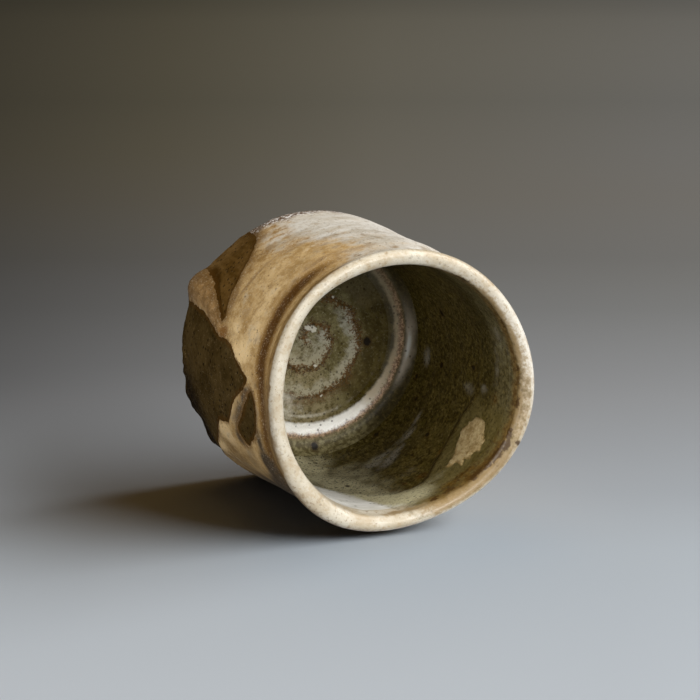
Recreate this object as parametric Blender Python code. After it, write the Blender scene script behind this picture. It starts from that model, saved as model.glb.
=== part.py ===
"""Small hand-thrown stoneware sake cup with a shaved, faceted foot end.

The cup stands on its base: +Z runs from the base to the mouth, and the origin
is the middle of the base.  Lengths below are millimetres, turned to metres
when the meshes are made.  Azimuths are degrees about +Z, from +X towards +Y.
"""

import math

import bmesh
import bpy
import numpy as np

MM = 0.001

# ---------------------------------------------------------------- dimensions
HEIGHT = 55.0            # base to the crest of the lip
LIP_OUTER_R = 30.05      # outside of the lip roll
LIP_CREST_R = 28.7       # crest of the lip
NECK_R = 29.15           # shallow neck under the lip
NECK_Z = 48.0
BELLY_R = 30.85          # widest part of the wall
BELLY_Z = 12.0
BASE_EDGE_R = 30.3       # wall at the base, before shaving and rounding
BASE_ROUND = 2.0         # rounding of the base edge away from the ridges

MOUTH_INNER_R = 26.5     # inside, just under the lip
WALL_INNER_R = 26.4      # inside, half way down
FLOOR_Z = 5.6            # inside floor, at the foot of the wall
FLOOR_R = 20.7           # edge of the floor, where the pooled ring starts
POOL_R = 24.4            # outer edge of the pooled ring
POOL_Z = 8.0

RECESS_R = 19.0          # shallow hollow turned under the base
RECESS_DEPTH = 1.4

COAT = 0.5               # thickness of slip and glaze coats
GAP = 0.3                # parting between a coat and what it lies on
BED = COAT + GAP         # how far the clay lies under a coated surface
BED_LOW = 1.25           # the same where the coat's ragged lower edge runs

SPIRAL_PITCH = 6.7       # radial step of the throwing spiral per turn
SPIRAL_START = 4.9       # radius of the spiral at SPIRAL_AZIMUTH
SPIRAL_AZIMUTH = -112.0
SPIRAL_RISE = 0.45       # height of the spiral's crest

COLUMNS = 48             # steps around every turned surface

# Stations (height, radius) of the thrown wall, outside and inside.
OUTSIDE = ((0.0, BASE_EDGE_R), (4.0, 30.55), (BELLY_Z, BELLY_R), (20.0, 30.65),
           (28.0, 30.3), (36.0, 30.05), (43.0, 29.7), (NECK_Z, NECK_R),
           (51.0, 29.55), (53.4, LIP_OUTER_R))
INSIDE = ((FLOOR_Z, FLOOR_R), (6.3, 22.7), (POOL_Z, POOL_R), (12.0, 25.5),
          (20.0, 26.1), (32.0, WALL_INNER_R), (44.0, WALL_INNER_R),
          (50.0, MOUTH_INNER_R), (53.2, 26.8))

# The wall leans a little: offset of its centre at each height.
LEAN_X = ((0.0, -0.41), (12.0, -0.41), (54.0, -0.62))
LEAN_Y = ((0.0, 1.13), (12.0, 1.13), (54.0, -0.29))
# Three- and four-lobed wobble left by the fingers, strongest at the lip.
LOBE3 = ((0.0, 0.0), (30.0, 0.05), (45.0, 0.35), (54.0, 0.67))
LOBE4 = ((0.0, 0.0), (30.0, 0.0), (45.0, 0.15), (54.0, 0.33))
LOBE3_AZIMUTH = -22.0
LOBE4_AZIMUTH = 12.0
# How much of BASE_ROUND is taken off at each azimuth.
ROUNDING = ((-180.0, 0.8), (-110.0, 0.9), (-45.0, 1.0), (-22.0, 0.9),
            (4.0, 0.1), (28.0, 0.1), (85.0, 0.1), (112.0, 0.2), (180.0, 0.8))
# Foot of the rib between the first two facets, which stands proud of the wall.
RIB_AZIMUTH, RIB_SPREAD, RIB_HEIGHT, RIB_PROUD = 15.5, 8.0, 16.0, 1.0

# Shaved facets.  "top" is the height of the cut's upper edge at each azimuth,
# "start" and "end" give the azimuths of its sides at each height, "depth" is
# what is taken off at the base.
FACETS = (
    dict(depth=1.7,
         top=((-20.0, 2.0), (-13.0, 13.3), (-3.0, 20.0), (10.0, 23.3), (23.0, 26.0)),
         start=((0.0, -21.0), (30.0, -21.0)),
         end=((0.0, 7.0), (5.0, 8.0), (12.0, 11.0), (20.0, 19.0), (26.0, 24.0))),
    dict(depth=1.8,
         top=((24.0, 24.0), (30.0, 31.0), (36.0, 36.0), (40.5, 41.0), (49.0, 36.3),
              (59.0, 32.3), (65.0, 25.0), (78.0, 18.0), (86.0, 15.0), (97.0, 1.0)),
         start=((0.0, 24.0), (14.0, 24.0), (25.0, 29.0), (42.0, 34.0)),
         end=((0.0, 98.0), (16.0, 86.0), (32.0, 62.0))),
    dict(depth=2.6,
         top=((118.0, 3.0), (126.0, 20.0), (140.0, 34.0), (156.0, 22.0), (169.0, 3.0)),
         start=((0.0, 118.0), (34.0, 124.0)),
         end=((0.0, 170.0), (34.0, 160.0))),
    dict(depth=2.4,
         top=((195.0, 3.0), (206.0, 19.0), (220.0, 31.0), (236.0, 20.0), (249.0, 3.0)),
         start=((0.0, 194.0), (31.0, 204.0)),
         end=((0.0, 250.0), (31.0, 240.0))),
)


# ------------------------------------------------------------------- helpers
def smooth(stations, at):
    """Smooth curve through (position, value) stations, without overshoot."""
    xs = np.array([s[0] for s in stations], float)
    ys = np.array([s[1] for s in stations], float)
    at = np.clip(np.asarray(at, float), xs[0], xs[-1])
    step = np.diff(ys) / np.diff(xs)
    slope = np.zeros_like(ys)
    slope[0], slope[-1] = step[0], step[-1]
    for i in range(1, len(ys) - 1):
        if step[i - 1] * step[i] > 0.0:
            slope[i] = 2.0 * step[i - 1] * step[i] / (step[i - 1] + step[i])
    i = np.clip(np.searchsorted(xs, at) - 1, 0, len(xs) - 2)
    h = xs[i + 1] - xs[i]
    t = (at - xs[i]) / h
    return (ys[i] * (1 + 2 * t) * (1 - t) ** 2 + slope[i] * h * t * (1 - t) ** 2
            + ys[i + 1] * t * t * (3 - 2 * t) + slope[i + 1] * h * t * t * (t - 1))


def line(stations, at):
    return np.interp(at, [s[0] for s in stations], [s[1] for s in stations])


def ease(t):
    t = np.clip(t, 0.0, 1.0)
    return t * t * (3.0 - 2.0 * t)


def wrap(azimuth):
    return (azimuth + 180.0) % 360.0 - 180.0


AZ = np.array([wrap(360.0 * k / COLUMNS) for k in range(COLUMNS)])
RAD = np.radians(AZ)


# ------------------------------------------------------- the thrown surfaces
def wobble(z, lobes=1.0):
    return (smooth(LEAN_X, z) * np.cos(RAD) + smooth(LEAN_Y, z) * np.sin(RAD)
            + lobes * smooth(LOBE3, z) * np.cos(3 * (RAD - math.radians(LOBE3_AZIMUTH)))
            + lobes * smooth(LOBE4, z) * np.cos(4 * (RAD - math.radians(LOBE4_AZIMUTH))))


def thrown_wall(z):
    """Radius of the uncut outside at every azimuth, at height z."""
    rounding = line(ROUNDING, AZ) * BASE_ROUND * (1.0 - ease(z / 8.0)) ** 1.5
    rib = RIB_PROUD * np.exp(-(wrap(AZ - RIB_AZIMUTH) / RIB_SPREAD) ** 2) * (1.0 - ease(z / RIB_HEIGHT))
    return smooth(OUTSIDE, z) + wobble(z) - rounding + rib


def inside_wall(z):
    return smooth(INSIDE, z) + wobble(z, 0.8) * ease((z - 2.0) / 12.0)


def facet_depth(z):
    """Depth of the shaved facets at every azimuth, at height z."""
    z = np.broadcast_to(np.asarray(z, float), AZ.shape)
    total = np.zeros(COLUMNS)
    for facet in FACETS:
        first = facet["start"][0][1]
        az = first - 30.0 + (AZ - first + 30.0) % 360.0
        top = line(facet["top"], az)
        side = ease((az - line(facet["start"], z)) / 4.0) * ease((line(facet["end"], z) - az) / 4.0)
        run = np.clip((top - z) / np.maximum(top, 1.0), 0.0, 1.0)
        total = np.maximum(total, facet["depth"] * run * side)
    return total


def bed(z):
    return BED + (BED_LOW - BED) * (1.0 - ease((z - 26.0) / 10.0))


def facet_top():
    """Height of the highest cut at every azimuth, zero where nothing is cut."""
    height = np.zeros(COLUMNS)
    for facet in FACETS:
        first, last = facet["start"][0][1], facet["end"][0][1]
        az = first - 30.0 + (AZ - first + 30.0) % 360.0
        inside = (az > first) & (az < last)
        height = np.maximum(height, np.where(inside, line(facet["top"], az), 0.0))
    return height


def spiral(r, azimuth):
    """Rise of the throwing spiral on the floor."""
    turn = (r - SPIRAL_START) / SPIRAL_PITCH + (azimuth - SPIRAL_AZIMUTH) / 360.0
    crest = 0.5 + 0.5 * np.cos(2.0 * math.pi * turn)
    fade = ease(r / 3.0) * ease((FLOOR_R - 1.0 - r) / 4.0)
    return SPIRAL_RISE * crest * fade + 0.5 * np.exp(-(r / 3.5) ** 2)


# -------------------------------------------------------------- mesh makers
def turned_solid(name, rows, closed_ring, material):
    """Closed solid from rows of (radius, height) around the axis.

    With closed_ring the section is a closed loop; otherwise the first and the
    last row shrink to single points on the axis.
    """
    mesh = bpy.data.meshes.new(name)
    bm = bmesh.new()
    grid = []
    for index, (radius, height) in enumerate(rows):
        radius = np.broadcast_to(np.asarray(radius, float), AZ.shape)
        height = np.broadcast_to(np.asarray(height, float), AZ.shape)
        if not closed_ring and index in (0, len(rows) - 1):
            grid.append([bm.verts.new((0.0, 0.0, float(height.mean()) * MM))])
            continue
        grid.append([bm.verts.new((radius[k] * math.cos(RAD[k]) * MM,
                                   radius[k] * math.sin(RAD[k]) * MM,
                                   height[k] * MM)) for k in range(COLUMNS)])
    pairs = list(zip(grid[:-1], grid[1:]))
    if closed_ring:
        pairs.append((grid[-1], grid[0]))
    for lower, upper in pairs:
        for k in range(COLUMNS):
            n = (k + 1) % COLUMNS
            if len(lower) == 1:
                bm.faces.new((lower[0], upper[n], upper[k]))
            elif len(upper) == 1:
                bm.faces.new((lower[k], lower[n], upper[0]))
            else:
                bm.faces.new((lower[k], lower[n], upper[n], upper[k]))
    return finish(name, mesh, bm, material)


def finish(name, mesh, bm, material):
    bmesh.ops.triangulate(bm, faces=bm.faces[:], quad_method="SHORT_EDGE")
    bmesh.ops.recalc_face_normals(bm, faces=bm.faces[:])
    bm.to_mesh(mesh)
    bm.free()
    mesh.materials.append(material)
    mesh.shade_smooth()
    mesh.set_sharp_from_angle(angle=math.radians(40.0))
    obj = bpy.data.objects.new(name, mesh)
    bpy.context.scene.collection.objects.link(obj)
    return obj


def material(name, colour, roughness, coat=0.0):
    mat = bpy.data.materials.new(name)
    mat.use_nodes = True
    bsdf = mat.node_tree.nodes["Principled BSDF"]
    bsdf.inputs["Base Color"].default_value = (*colour, 1.0)
    bsdf.inputs["Roughness"].default_value = roughness
    bsdf.inputs["Metallic"].default_value = 0.0
    bsdf.inputs["Coat Weight"].default_value = coat
    return mat


# ------------------------------------------------------------------- the cup
def lip_section(offset):
    """Rows over the lip, outside to inside, sunk by offset below its surface."""
    outer_z, inner_z = 53.4, 53.2
    rows = []
    for z in (50.3, 51.4, 52.5):
        rows.append((thrown_wall(z) - offset, z))
    outer, inner = thrown_wall(outer_z), inside_wall(inner_z)
    crest = 0.5 * (outer + inner) + 0.35
    for part in (0.0, 0.22, 0.42):
        swing = part * math.pi
        rows.append((crest + (outer - crest - offset) * math.cos(swing),
                     outer_z + (HEIGHT - outer_z - offset) * math.sin(swing)))
    rows.append((crest, HEIGHT - offset))
    for part in (0.42, 0.22, 0.0):
        swing = part * math.pi
        rows.append((crest + (inner - crest + offset) * math.cos(swing),
                     inner_z + (HEIGHT - inner_z - offset) * math.sin(swing)))
    for z in (52.0, 50.3):
        rows.append((inside_wall(z) + offset, z))
    return rows


def clay_body(mat):
    rows = [(0.0, RECESS_DEPTH), (RECESS_R * 0.5, RECESS_DEPTH), (RECESS_R - 1.2, RECESS_DEPTH),
            (RECESS_R, RECESS_DEPTH - 0.5), (RECESS_R + 0.4, 0.0)]
    bare = thrown_wall(0.0) - np.maximum(facet_depth(0.0), bed(0.0))
    rows.append((bare - 0.9, 0.0))
    for z in (0.7, 3.0, 6.0, 10.0, 14.0, 18.0, 22.0, 26.0, 30.0, 34.0, 38.0, 42.0, 45.0, 48.0):
        rows.append((thrown_wall(z) - np.maximum(facet_depth(z), bed(z)), z))
    rows += lip_section(BED)
    for z in (48.0, 44.0, 38.0, 32.0, 26.0, 20.0, 15.0, 11.0, 8.6):
        rows.append((inside_wall(z) + BED, z))
    rows.append((POOL_R - 0.5 + 0.0 * AZ, 6.3))
    rows.append((FLOOR_R + 1.2 + 0.0 * AZ, FLOOR_Z - BED - 0.15))
    for r in (17.5, 13.0, 9.0, 5.0, 2.0):
        rows.append((r, FLOOR_Z - BED + spiral(r, AZ)))
    rows.append((0.0, FLOOR_Z - BED + 0.5))
    return turned_solid("clay_body", rows, False, mat)


def outer_slip_coat(mat):
    low = np.maximum(facet_top() + 0.5, 2.4)
    high = 49.7
    share = (0.0, 0.12, 0.25, 0.4, 0.55, 0.7, 0.85, 0.95, 1.0)
    rows = []
    for s in share:
        z = low + (high - low) * s
        rows.append((per_column(thrown_wall, z), z))
    for s in reversed(share):
        z = low + (high - low) * s
        rows.append((per_column(thrown_wall, z) - COAT, z))
    return turned_solid("outer_slip_coat", rows, True, mat)


def per_column(surface, heights):
    """Surface radius where every azimuth has a height of its own."""
    heights = np.broadcast_to(heights, AZ.shape)
    return np.array([surface(heights[k])[k] for k in range(COLUMNS)])


def lip_glaze(mat):
    rows = lip_section(0.0) + list(reversed(lip_section(COAT)))
    return turned_solid("lip_glaze", rows, True, mat)


def inner_wall_glaze(mat):
    heights = (9.0, 11.0, 15.0, 20.0, 26.0, 32.0, 38.0, 44.0, 48.0, 49.8)
    rows = [(inside_wall(z), z) for z in heights]
    rows += [(inside_wall(z) + COAT, z) for z in reversed(heights)]
    return turned_solid("inner_wall_glaze", rows, True, mat)


def floor_edge_glaze(mat):
    foot = inside_wall(8.6)
    rows = [(foot - 0.05, 8.55), (0.5 * (foot + FLOOR_R) + 0.5, 6.55), (FLOOR_R + 0.1, FLOOR_Z),
            (FLOOR_R + 0.1, FLOOR_Z - 0.35), (FLOOR_R + 1.4, FLOOR_Z - 0.45),
            (POOL_R - 1.0, 6.35), (foot + 0.25, 8.45)]
    return turned_solid("floor_edge_glaze", rows, True, mat)


def floor_glaze(mat):
    rows = [(0.0, FLOOR_Z - COAT + 0.5)]
    for r in (2.0, 5.0, 9.0, 13.0, 17.5):
        rows.append((r, FLOOR_Z - COAT + spiral(r, AZ)))
    rows.append((FLOOR_R - 0.3, FLOOR_Z - COAT + 0.1))
    rows.append((FLOOR_R - 0.3, FLOOR_Z - 0.05))
    for r in (17.5, 13.0, 9.0, 5.0, 2.0):
        rows.append((r, FLOOR_Z + spiral(r, AZ)))
    rows.append((0.0, FLOOR_Z + 0.5))
    return turned_solid("floor_glaze", rows, False, mat)


def inner_slip_patch(mat):
    """Thin splash lying on the wall glaze, an uneven oval in outline."""
    name = "inner_slip_patch"
    middle_az, middle_z = -174.0, 43.0
    half_az, half_z = 10.5, 4.2
    rim = 20

    def on_wall(az, z, lift):
        column = (az % 360.0) / 360.0 * COLUMNS
        k = int(math.floor(column)) % COLUMNS
        t = column - math.floor(column)
        wall = inside_wall(z)
        radius = wall[k] * (1 - t) + wall[(k + 1) % COLUMNS] * t - GAP - lift
        a = math.radians(az)
        return (radius * math.cos(a) * MM, radius * math.sin(a) * MM, z * MM)

    mesh = bpy.data.meshes.new(name)
    bm = bmesh.new()
    layers = []
    for lift in (0.35, 0.05):
        middle = bm.verts.new(on_wall(middle_az, middle_z, lift))
        rings = []
        for share in (0.5, 1.0):
            ring = []
            for k in range(rim):
                a = 2.0 * math.pi * k / rim
                reach = share * (1.0 + 0.16 * math.sin(2 * a + 0.6) + 0.09 * math.sin(5 * a))
                ring.append(bm.verts.new(on_wall(middle_az + half_az * reach * math.cos(a),
                                                 middle_z + half_z * reach * math.sin(a)
                                                 + 2.2 * share * math.cos(a), lift)))
            rings.append(ring)
        layers.append((middle, rings))
    for middle, rings in layers:
        for k in range(rim):
            n = (k + 1) % rim
            bm.faces.new((middle, rings[0][k], rings[0][n]))
            bm.faces.new((rings[0][k], rings[1][k], rings[1][n], rings[0][n]))
    top, under = layers[0][1][1], layers[1][1][1]
    for k in range(rim):
        n = (k + 1) % rim
        bm.faces.new((top[k], under[k], under[n], top[n]))
    return finish(name, mesh, bm, mat)


def centre_on_origin(objects):
    """Move the meshes so that the cup's outline is centred on the axis Z."""
    points = np.array([v.co[:2] for o in objects for v in o.data.vertices])
    middle = 0.5 * (points.min(axis=0) + points.max(axis=0))
    for obj in objects:
        for v in obj.data.vertices:
            v.co.x -= middle[0]
            v.co.y -= middle[1]
    return middle


def main():
    for obj in list(bpy.data.objects):
        bpy.data.objects.remove(obj, do_unlink=True)

    bare_clay = material("bare_clay", (0.075, 0.055, 0.036), 0.85)
    cream_slip = material("cream_slip", (0.50, 0.42, 0.29), 0.5)
    ivory_glaze = material("ivory_glaze", (0.66, 0.61, 0.50), 0.3, 0.4)
    ash_glaze = material("ash_glaze", (0.12, 0.115, 0.065), 0.2, 0.6)
    pooled_glaze = material("pooled_glaze", (0.27, 0.24, 0.16), 0.15, 0.8)
    floor_ash = material("floor_ash", (0.21, 0.20, 0.14), 0.2, 0.6)
    splash_slip = material("splash_slip", (0.46, 0.37, 0.23), 0.45)

    pieces = [clay_body(bare_clay), outer_slip_coat(cream_slip), lip_glaze(ivory_glaze),
              inner_wall_glaze(ash_glaze), floor_edge_glaze(pooled_glaze),
              floor_glaze(floor_ash), inner_slip_patch(splash_slip)]
    centre_on_origin(pieces)

    cup = bpy.data.objects.new("cup", None)
    bpy.context.scene.collection.objects.link(cup)
    for piece in pieces:
        piece.parent = cup


main()
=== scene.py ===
"""Looks of the hand-thrown stoneware sake cup: fine meshes, glazes, stage and camera.

The cup's own frame is used throughout: +Z from the base to the mouth.  Lengths
are millimetres and azimuths degrees about the throwing axis, from +X towards
+Y, until the meshes are made.  The picture shows the cup lying on its side, so
floor, lights and camera are turned round the cup, which itself stays upright.
"""

import math

import bpy
import numpy as np
from mathutils import Matrix, Vector


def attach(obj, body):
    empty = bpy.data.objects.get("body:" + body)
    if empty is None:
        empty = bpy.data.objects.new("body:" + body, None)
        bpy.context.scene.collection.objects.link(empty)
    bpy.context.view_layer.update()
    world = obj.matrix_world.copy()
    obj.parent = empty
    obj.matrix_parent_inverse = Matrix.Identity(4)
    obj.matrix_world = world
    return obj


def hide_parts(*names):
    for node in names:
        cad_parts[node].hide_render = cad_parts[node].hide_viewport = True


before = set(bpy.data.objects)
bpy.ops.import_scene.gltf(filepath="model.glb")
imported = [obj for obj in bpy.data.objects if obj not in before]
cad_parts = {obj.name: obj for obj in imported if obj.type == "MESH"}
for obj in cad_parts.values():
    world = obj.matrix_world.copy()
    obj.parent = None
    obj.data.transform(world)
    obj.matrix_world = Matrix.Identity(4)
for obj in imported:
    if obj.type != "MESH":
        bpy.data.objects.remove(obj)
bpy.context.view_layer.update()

MM = 0.001
AXIS_X, AXIS_Y = 0.410, -1.017      # throwing axis in the row frame
COLS = 480                          # steps around the wall

# ------------------------------------------------------------ shape stations
HEIGHT = 55.0
OUTSIDE = ((0.0, 30.3), (4.0, 30.55), (12.0, 30.85), (20.0, 30.65), (28.0, 30.3),
           (36.0, 30.05), (43.0, 29.7), (48.0, 29.15), (51.0, 29.55), (53.4, 30.05))
INSIDE = ((9.0, 24.9), (12.0, 25.6), (16.0, 26.1), (20.0, 26.3), (32.0, 26.45),
          (44.0, 26.4), (50.0, 26.5), (53.2, 26.8))
LEAN_X = ((0.0, -0.41), (12.0, -0.41), (54.0, -0.62))
LEAN_Y = ((0.0, 1.13), (12.0, 1.13), (54.0, -0.29))
LOBE3 = ((0.0, 0.0), (30.0, 0.05), (45.0, 0.35), (54.0, 0.67))
LOBE4 = ((0.0, 0.0), (30.0, 0.0), (45.0, 0.15), (54.0, 0.33))
ROUNDING = ((-180.0, 0.8), (-110.0, 0.9), (-45.0, 1.0), (-22.0, 0.9), (4.0, 0.1),
            (28.0, 0.1), (85.0, 0.1), (112.0, 0.2), (180.0, 0.8))
BASE_ROUND = 2.0
RECESS_R, RECESS_DEPTH = 19.0, 1.4
COAT_STEP = 0.14                    # how far the slip stands proud of the clay
# Swellings of the wall: azimuth, height, half width in degrees, half height, how far out.
SWELLS = ((-68, 41, 18, 8, 0.6), (-58, 18, 26, 14, 0.3), (97, 30, 12, 10, -0.5), (-152, 53, 24, 8, 0.4),
          (81.5, 15, 4, 4, 0.5), (15.5, 2, 8, 10, 1.15), (91, 2, 6, 5, 0.50))

# Rib left standing between the two facets that show: azimuth of its crest and
# half its width in mm, at each height.
RIB_AZ = ((0.0, 15.5), (5.0, 16.0), (12.0, 17.5), (15.0, 19.2), (20.0, 23.0), (25.0, 26.5), (34.0, 31.0))
RIB_HALF = ((0.0, 3.8), (5.0, 3.6), (12.0, 2.9), (15.0, 2.4), (20.0, 1.9), (25.0, 1.6), (34.0, 1.5))
# Shaved facets: outline of the cut (azimuth, height), depth of the cut at the
# base for each azimuth, the height where it runs out, and the side of the rib
# it lies on, if any.
FACETS = (
    dict(outline=((-20, -6), (-18, 0), (-16, 6), (-15, 10), (-12.5, 13.5), (-8.5, 16.6), (-3, 19.2), (2, 20.7),
                  (6, 21.8), (10, 22.5), (15, 23.6), (18, 24.5), (21, 25.1), (23, 24.6),
                  (19, 20.3), (14, 15), (11, 11.8), (8, 4.5), (7, 0), (7, -6)),
         depth=((-30, 0.9), (-18, 1.5), (-7, 1.8), (3, 1.5), (8, 1.7), (23, 2.1)), rib=-1,
         top=((-30, 3), (-20, 9), (-13, 14), (-3, 20.3), (10, 24), (23, 27))),
    dict(outline=((24, -6), (24, 6), (24.3, 14), (26, 17.6), (28, 21.6), (30, 25.4), (29.3, 28.9),
                  (30.3, 32), (33, 34.2), (36, 36), (38, 38.6), (40.3, 41.1), (45, 39.5), (49, 36.4),
                  (54, 33.8), (59, 32.2), (63, 30), (63.3, 28), (65, 24.0), (70, 21.2), (78, 16.7),
                  (84, 14.6), (93, 6.5), (97, -1), (98, -6)),
         depth=((24, 1.8), (40, 1.7), (58, 1.8), (66, 1.5), (79, 1.3), (88, 0.3), (97, 0.0)), rib=1,
         top=((24, 27), (30, 33), (36, 38), (41, 41.5), (49, 38), (59, 33.5), (65, 27), (78, 20),
              (86, 17), (97, 3))),
    dict(outline=((117, -6), (118, 2), (121, 10), (125, 19), (132, 27), (139, 34), (144, 32),
                  (150, 26), (156, 21), (163, 12), (169, 2), (170, -6)),
         depth=((117, 1.6), (130, 2.6), (158, 2.6), (170, 1.6)), rib=0,
         top=((117, 5), (126, 21), (140, 35), (156, 23), (170, 5))),
    dict(outline=((194, -6), (195, 2), (199, 11), (205, 19), (212, 25), (219, 31), (226, 28),
                  (234, 21), (240, 15), (247, 5), (250, -6)),
         depth=((194, 1.5), (206, 2.4), (238, 2.4), (250, 1.5)), rib=0,
         top=((194, 5), (206, 21), (220, 32), (236, 22), (250, 5))),
)
# Shallow scrape beside the large facet.
SCRAPE = ((45, 43.4), (48, 44.6), (54, 44.7), (61, 43.5), (66, 40.9), (70.5, 37.6), (69, 35.9),
          (66.5, 34.8), (63, 35.2), (59, 37.3), (54, 39.5), (50, 41.1), (47, 42.1))
# Groove turned under the lip: its height at each azimuth, and how strong it is.
GROOVE_Z = ((-180, 47.6), (-60, 46.2), (-10, 44.9), (17, 45.0), (33, 46.0), (41, 47.0), (54, 47.6),
            (68, 46.8), (77, 46.2), (110, 46.2), (180, 47.6))
GROOVE_SHARE = ((-180, 0.15), (-40, 0.1), (-24, 0.22), (-16, 0.52), (-8, 0.95), (12, 1.0), (28, 0.95), (45, 0.85), (75, 0.70),
                (100, 0.5), (180, 0.15))
# Azimuth where the pale slip gives way to the golden, by height.
PALE_AZ = ((0, -24), (14, -22), (22, -20), (27, -23), (33, -34), (41, -38), (46, -32), (55, -28))
# Inside: edge of the thickened lip band, under which the wall falls back, and
# how marked it is.
BAND_Z = ((-180, 35.2), (-172, 34.2), (-165, 34.3), (-158, 35.8), (-150, 37.5), (-120, 38.0), (-60, 38.0),
          (0, 37.0), (60, 36.0), (100, 31.0), (113, 31.5), (130, 35.0), (138, 38.8), (148, 41.6),
          (155, 42.3), (163, 41.2), (170, 38.2), (176, 36.2), (180, 35.2))
BAND_SHARE = ((-180, 1.0), (-160, 0.9), (-146, 0.35), (-100, 0.2), (60, 0.3), (100, 0.7), (130, 1.0), (180, 1.0))
# How far the lip's ivory runs down inside, in mm below the crest.
IVORY = ((-180, 0.5), (-165, 0.4), (-150, 0.6), (-125, 1.0), (-95, 1.5), (-72, 2.4), (-45, 3.8), (40, 5.0), (75, 16.0),
         (98, 28.0), (110, 27.0), (118, 25.0), (122, 22.5), (128, 17.5), (133, 9.5), (137, 6.0), (142, 4.0), (148, 2.4),
         (155, 1.2), (165, 0.7), (180, 0.5))
# Floor: profile (radius, height) from the middle to the foot of the wall.
FLOOR = ((0.0, 5.3), (6.0, 5.3), (12.0, 5.3), (16.8, 5.3), (17.5, 5.36), (18.1, 5.42), (18.7, 5.41), (19.2, 5.42),
         (19.8, 5.52), (20.4, 5.65), (21.0, 5.83), (21.6, 6.06), (22.0, 6.20), (22.4, 6.24), (22.9, 6.25),
         (23.4, 6.42), (24.0, 7.0), (24.55, 7.95), (24.9, 9.0))
FLOOR_SPLIT = 19.0                  # floor glaze inside, pooled ring outside
SPIRAL_PITCH, SPIRAL_START, SPIRAL_AZ = 6.7, 4.9, -112.0
# Iron spots in the inner glaze: azimuth, height, half length, half height, slant.
SPOTS = ((-118.5, 21.4, 0.75, 0.85, 0), (-146, 19.6, 0.65, 0.5, 0), (-179, 25.6, 0.6, 0.6, 0),
         (-140, 34.0, 0.4, 0.9, 0), (-167, 13.6, 0.6, 0.4, 0), (167, 10.6, 0.6, 0.5, 0),
         (-157, 10.6, 0.6, 0.4, 0), (134, 27.8, 0.4, 0.5, 0), (-191, 27.0, 0.3, 0.4, 0),
         (60, 24.0, 0.7, 0.6, 0), (5, 17.0, 0.5, 0.6, 0), (-60, 28.0, 0.6, 0.5, 0), (90, 38.0, 0.5, 0.5, 0))
# Iron spots on the floor: azimuth, distance from the middle, half size.
FLOOR_SPOTS = ((-142, 13.85, 0.85), (136, 24.35, 0.75), (40, 15.0, 0.6), (-20, 10.0, 0.5))
# Pale spots on the floor, the same way: painted glints and pale ash lumps.
FLOOR_LUMPS = ((-58, 2.4, 0.85), (-30, 2.9, 0.6), (145, 6.1, 0.4), (146, 13.4, 0.35), (-76, 10.8, 0.3))
PATCH = ((-159.5, 42.5), (-161, 40.2), (-164, 38.6), (-168, 37.4), (-173, 38.0), (-177, 39.3), (-180.5, 40.6),
         (-184, 41.6), (-188, 42.3), (-186.5, 43.8), (-183.5, 44.2), (-182.8, 46.6), (-180, 45.6), (-178.3, 47.4),
         (-176, 46.6), (-173, 48.4), (-170, 47.6), (-168, 48.0), (-166, 46.6), (-163, 45.4), (-160.5, 44.4))
# Breaks in the lip's ivory: azimuth, mm over the crest towards the inside, half length, half width.
NOTCHES = ((-162, -0.6, 0.8, 0.9), (-165, 1.5, 2.2, 0.8), (-171, 1.9, 2.4, 0.9), (-177, 2.4, 2.4, 0.9),
           (-160, 2.2, 1.6, 0.7), (-166, 2.4, 1.4, 0.6), (-171, 2.8, 2.6, 0.9), (-181, 3.2, 2.4, 1.0),
           (175, 2.8, 1.0, 1.3), (155, 4.0, 1.4, 1.0), (163, 4.3, 1.8, 0.8), (-146, 2.4, 1.4, 0.6), (-131, 2.6, 1.2, 0.6),
           (-108, 3.2, 1.6, 0.6), (-77, 2.8, 3.2, 0.9), (38, -2.4, 1.0, 0.6), (118, -1.9, 1.2, 0.8), (133, -1.7, 1.0, 0.7))
# Tea-brown stains on the ivory, the same way.
STAINS = ((-98, 2.0, 7.0, 0.9), (-118, 1.8, 7.0, 0.9), (158, 0.9, 8.0, 1.4), (170, 0.7, 8.0, 1.4), (-176, 0.5, 6.0, 1.2),
          (136, 3.6, 5.0, 1.1), (144, 3.4, 5.0, 1.3), (153, 2.6, 5.0, 1.3), (163, 2.0, 6.0, 1.2), (-176, 1.6, 7.0, 1.1), (-150, 1.9, 6.0, 0.8),
          (128, -2.2, 8.0, 0.9), (108, -2.3, 8.0, 0.9), (150, -1.9, 7.0, 0.8), (172, -1.6, 6.0, 0.8), (70, -2.2, 6.0, 0.8), (-170, -1.7, 5.0, 0.7))
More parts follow.
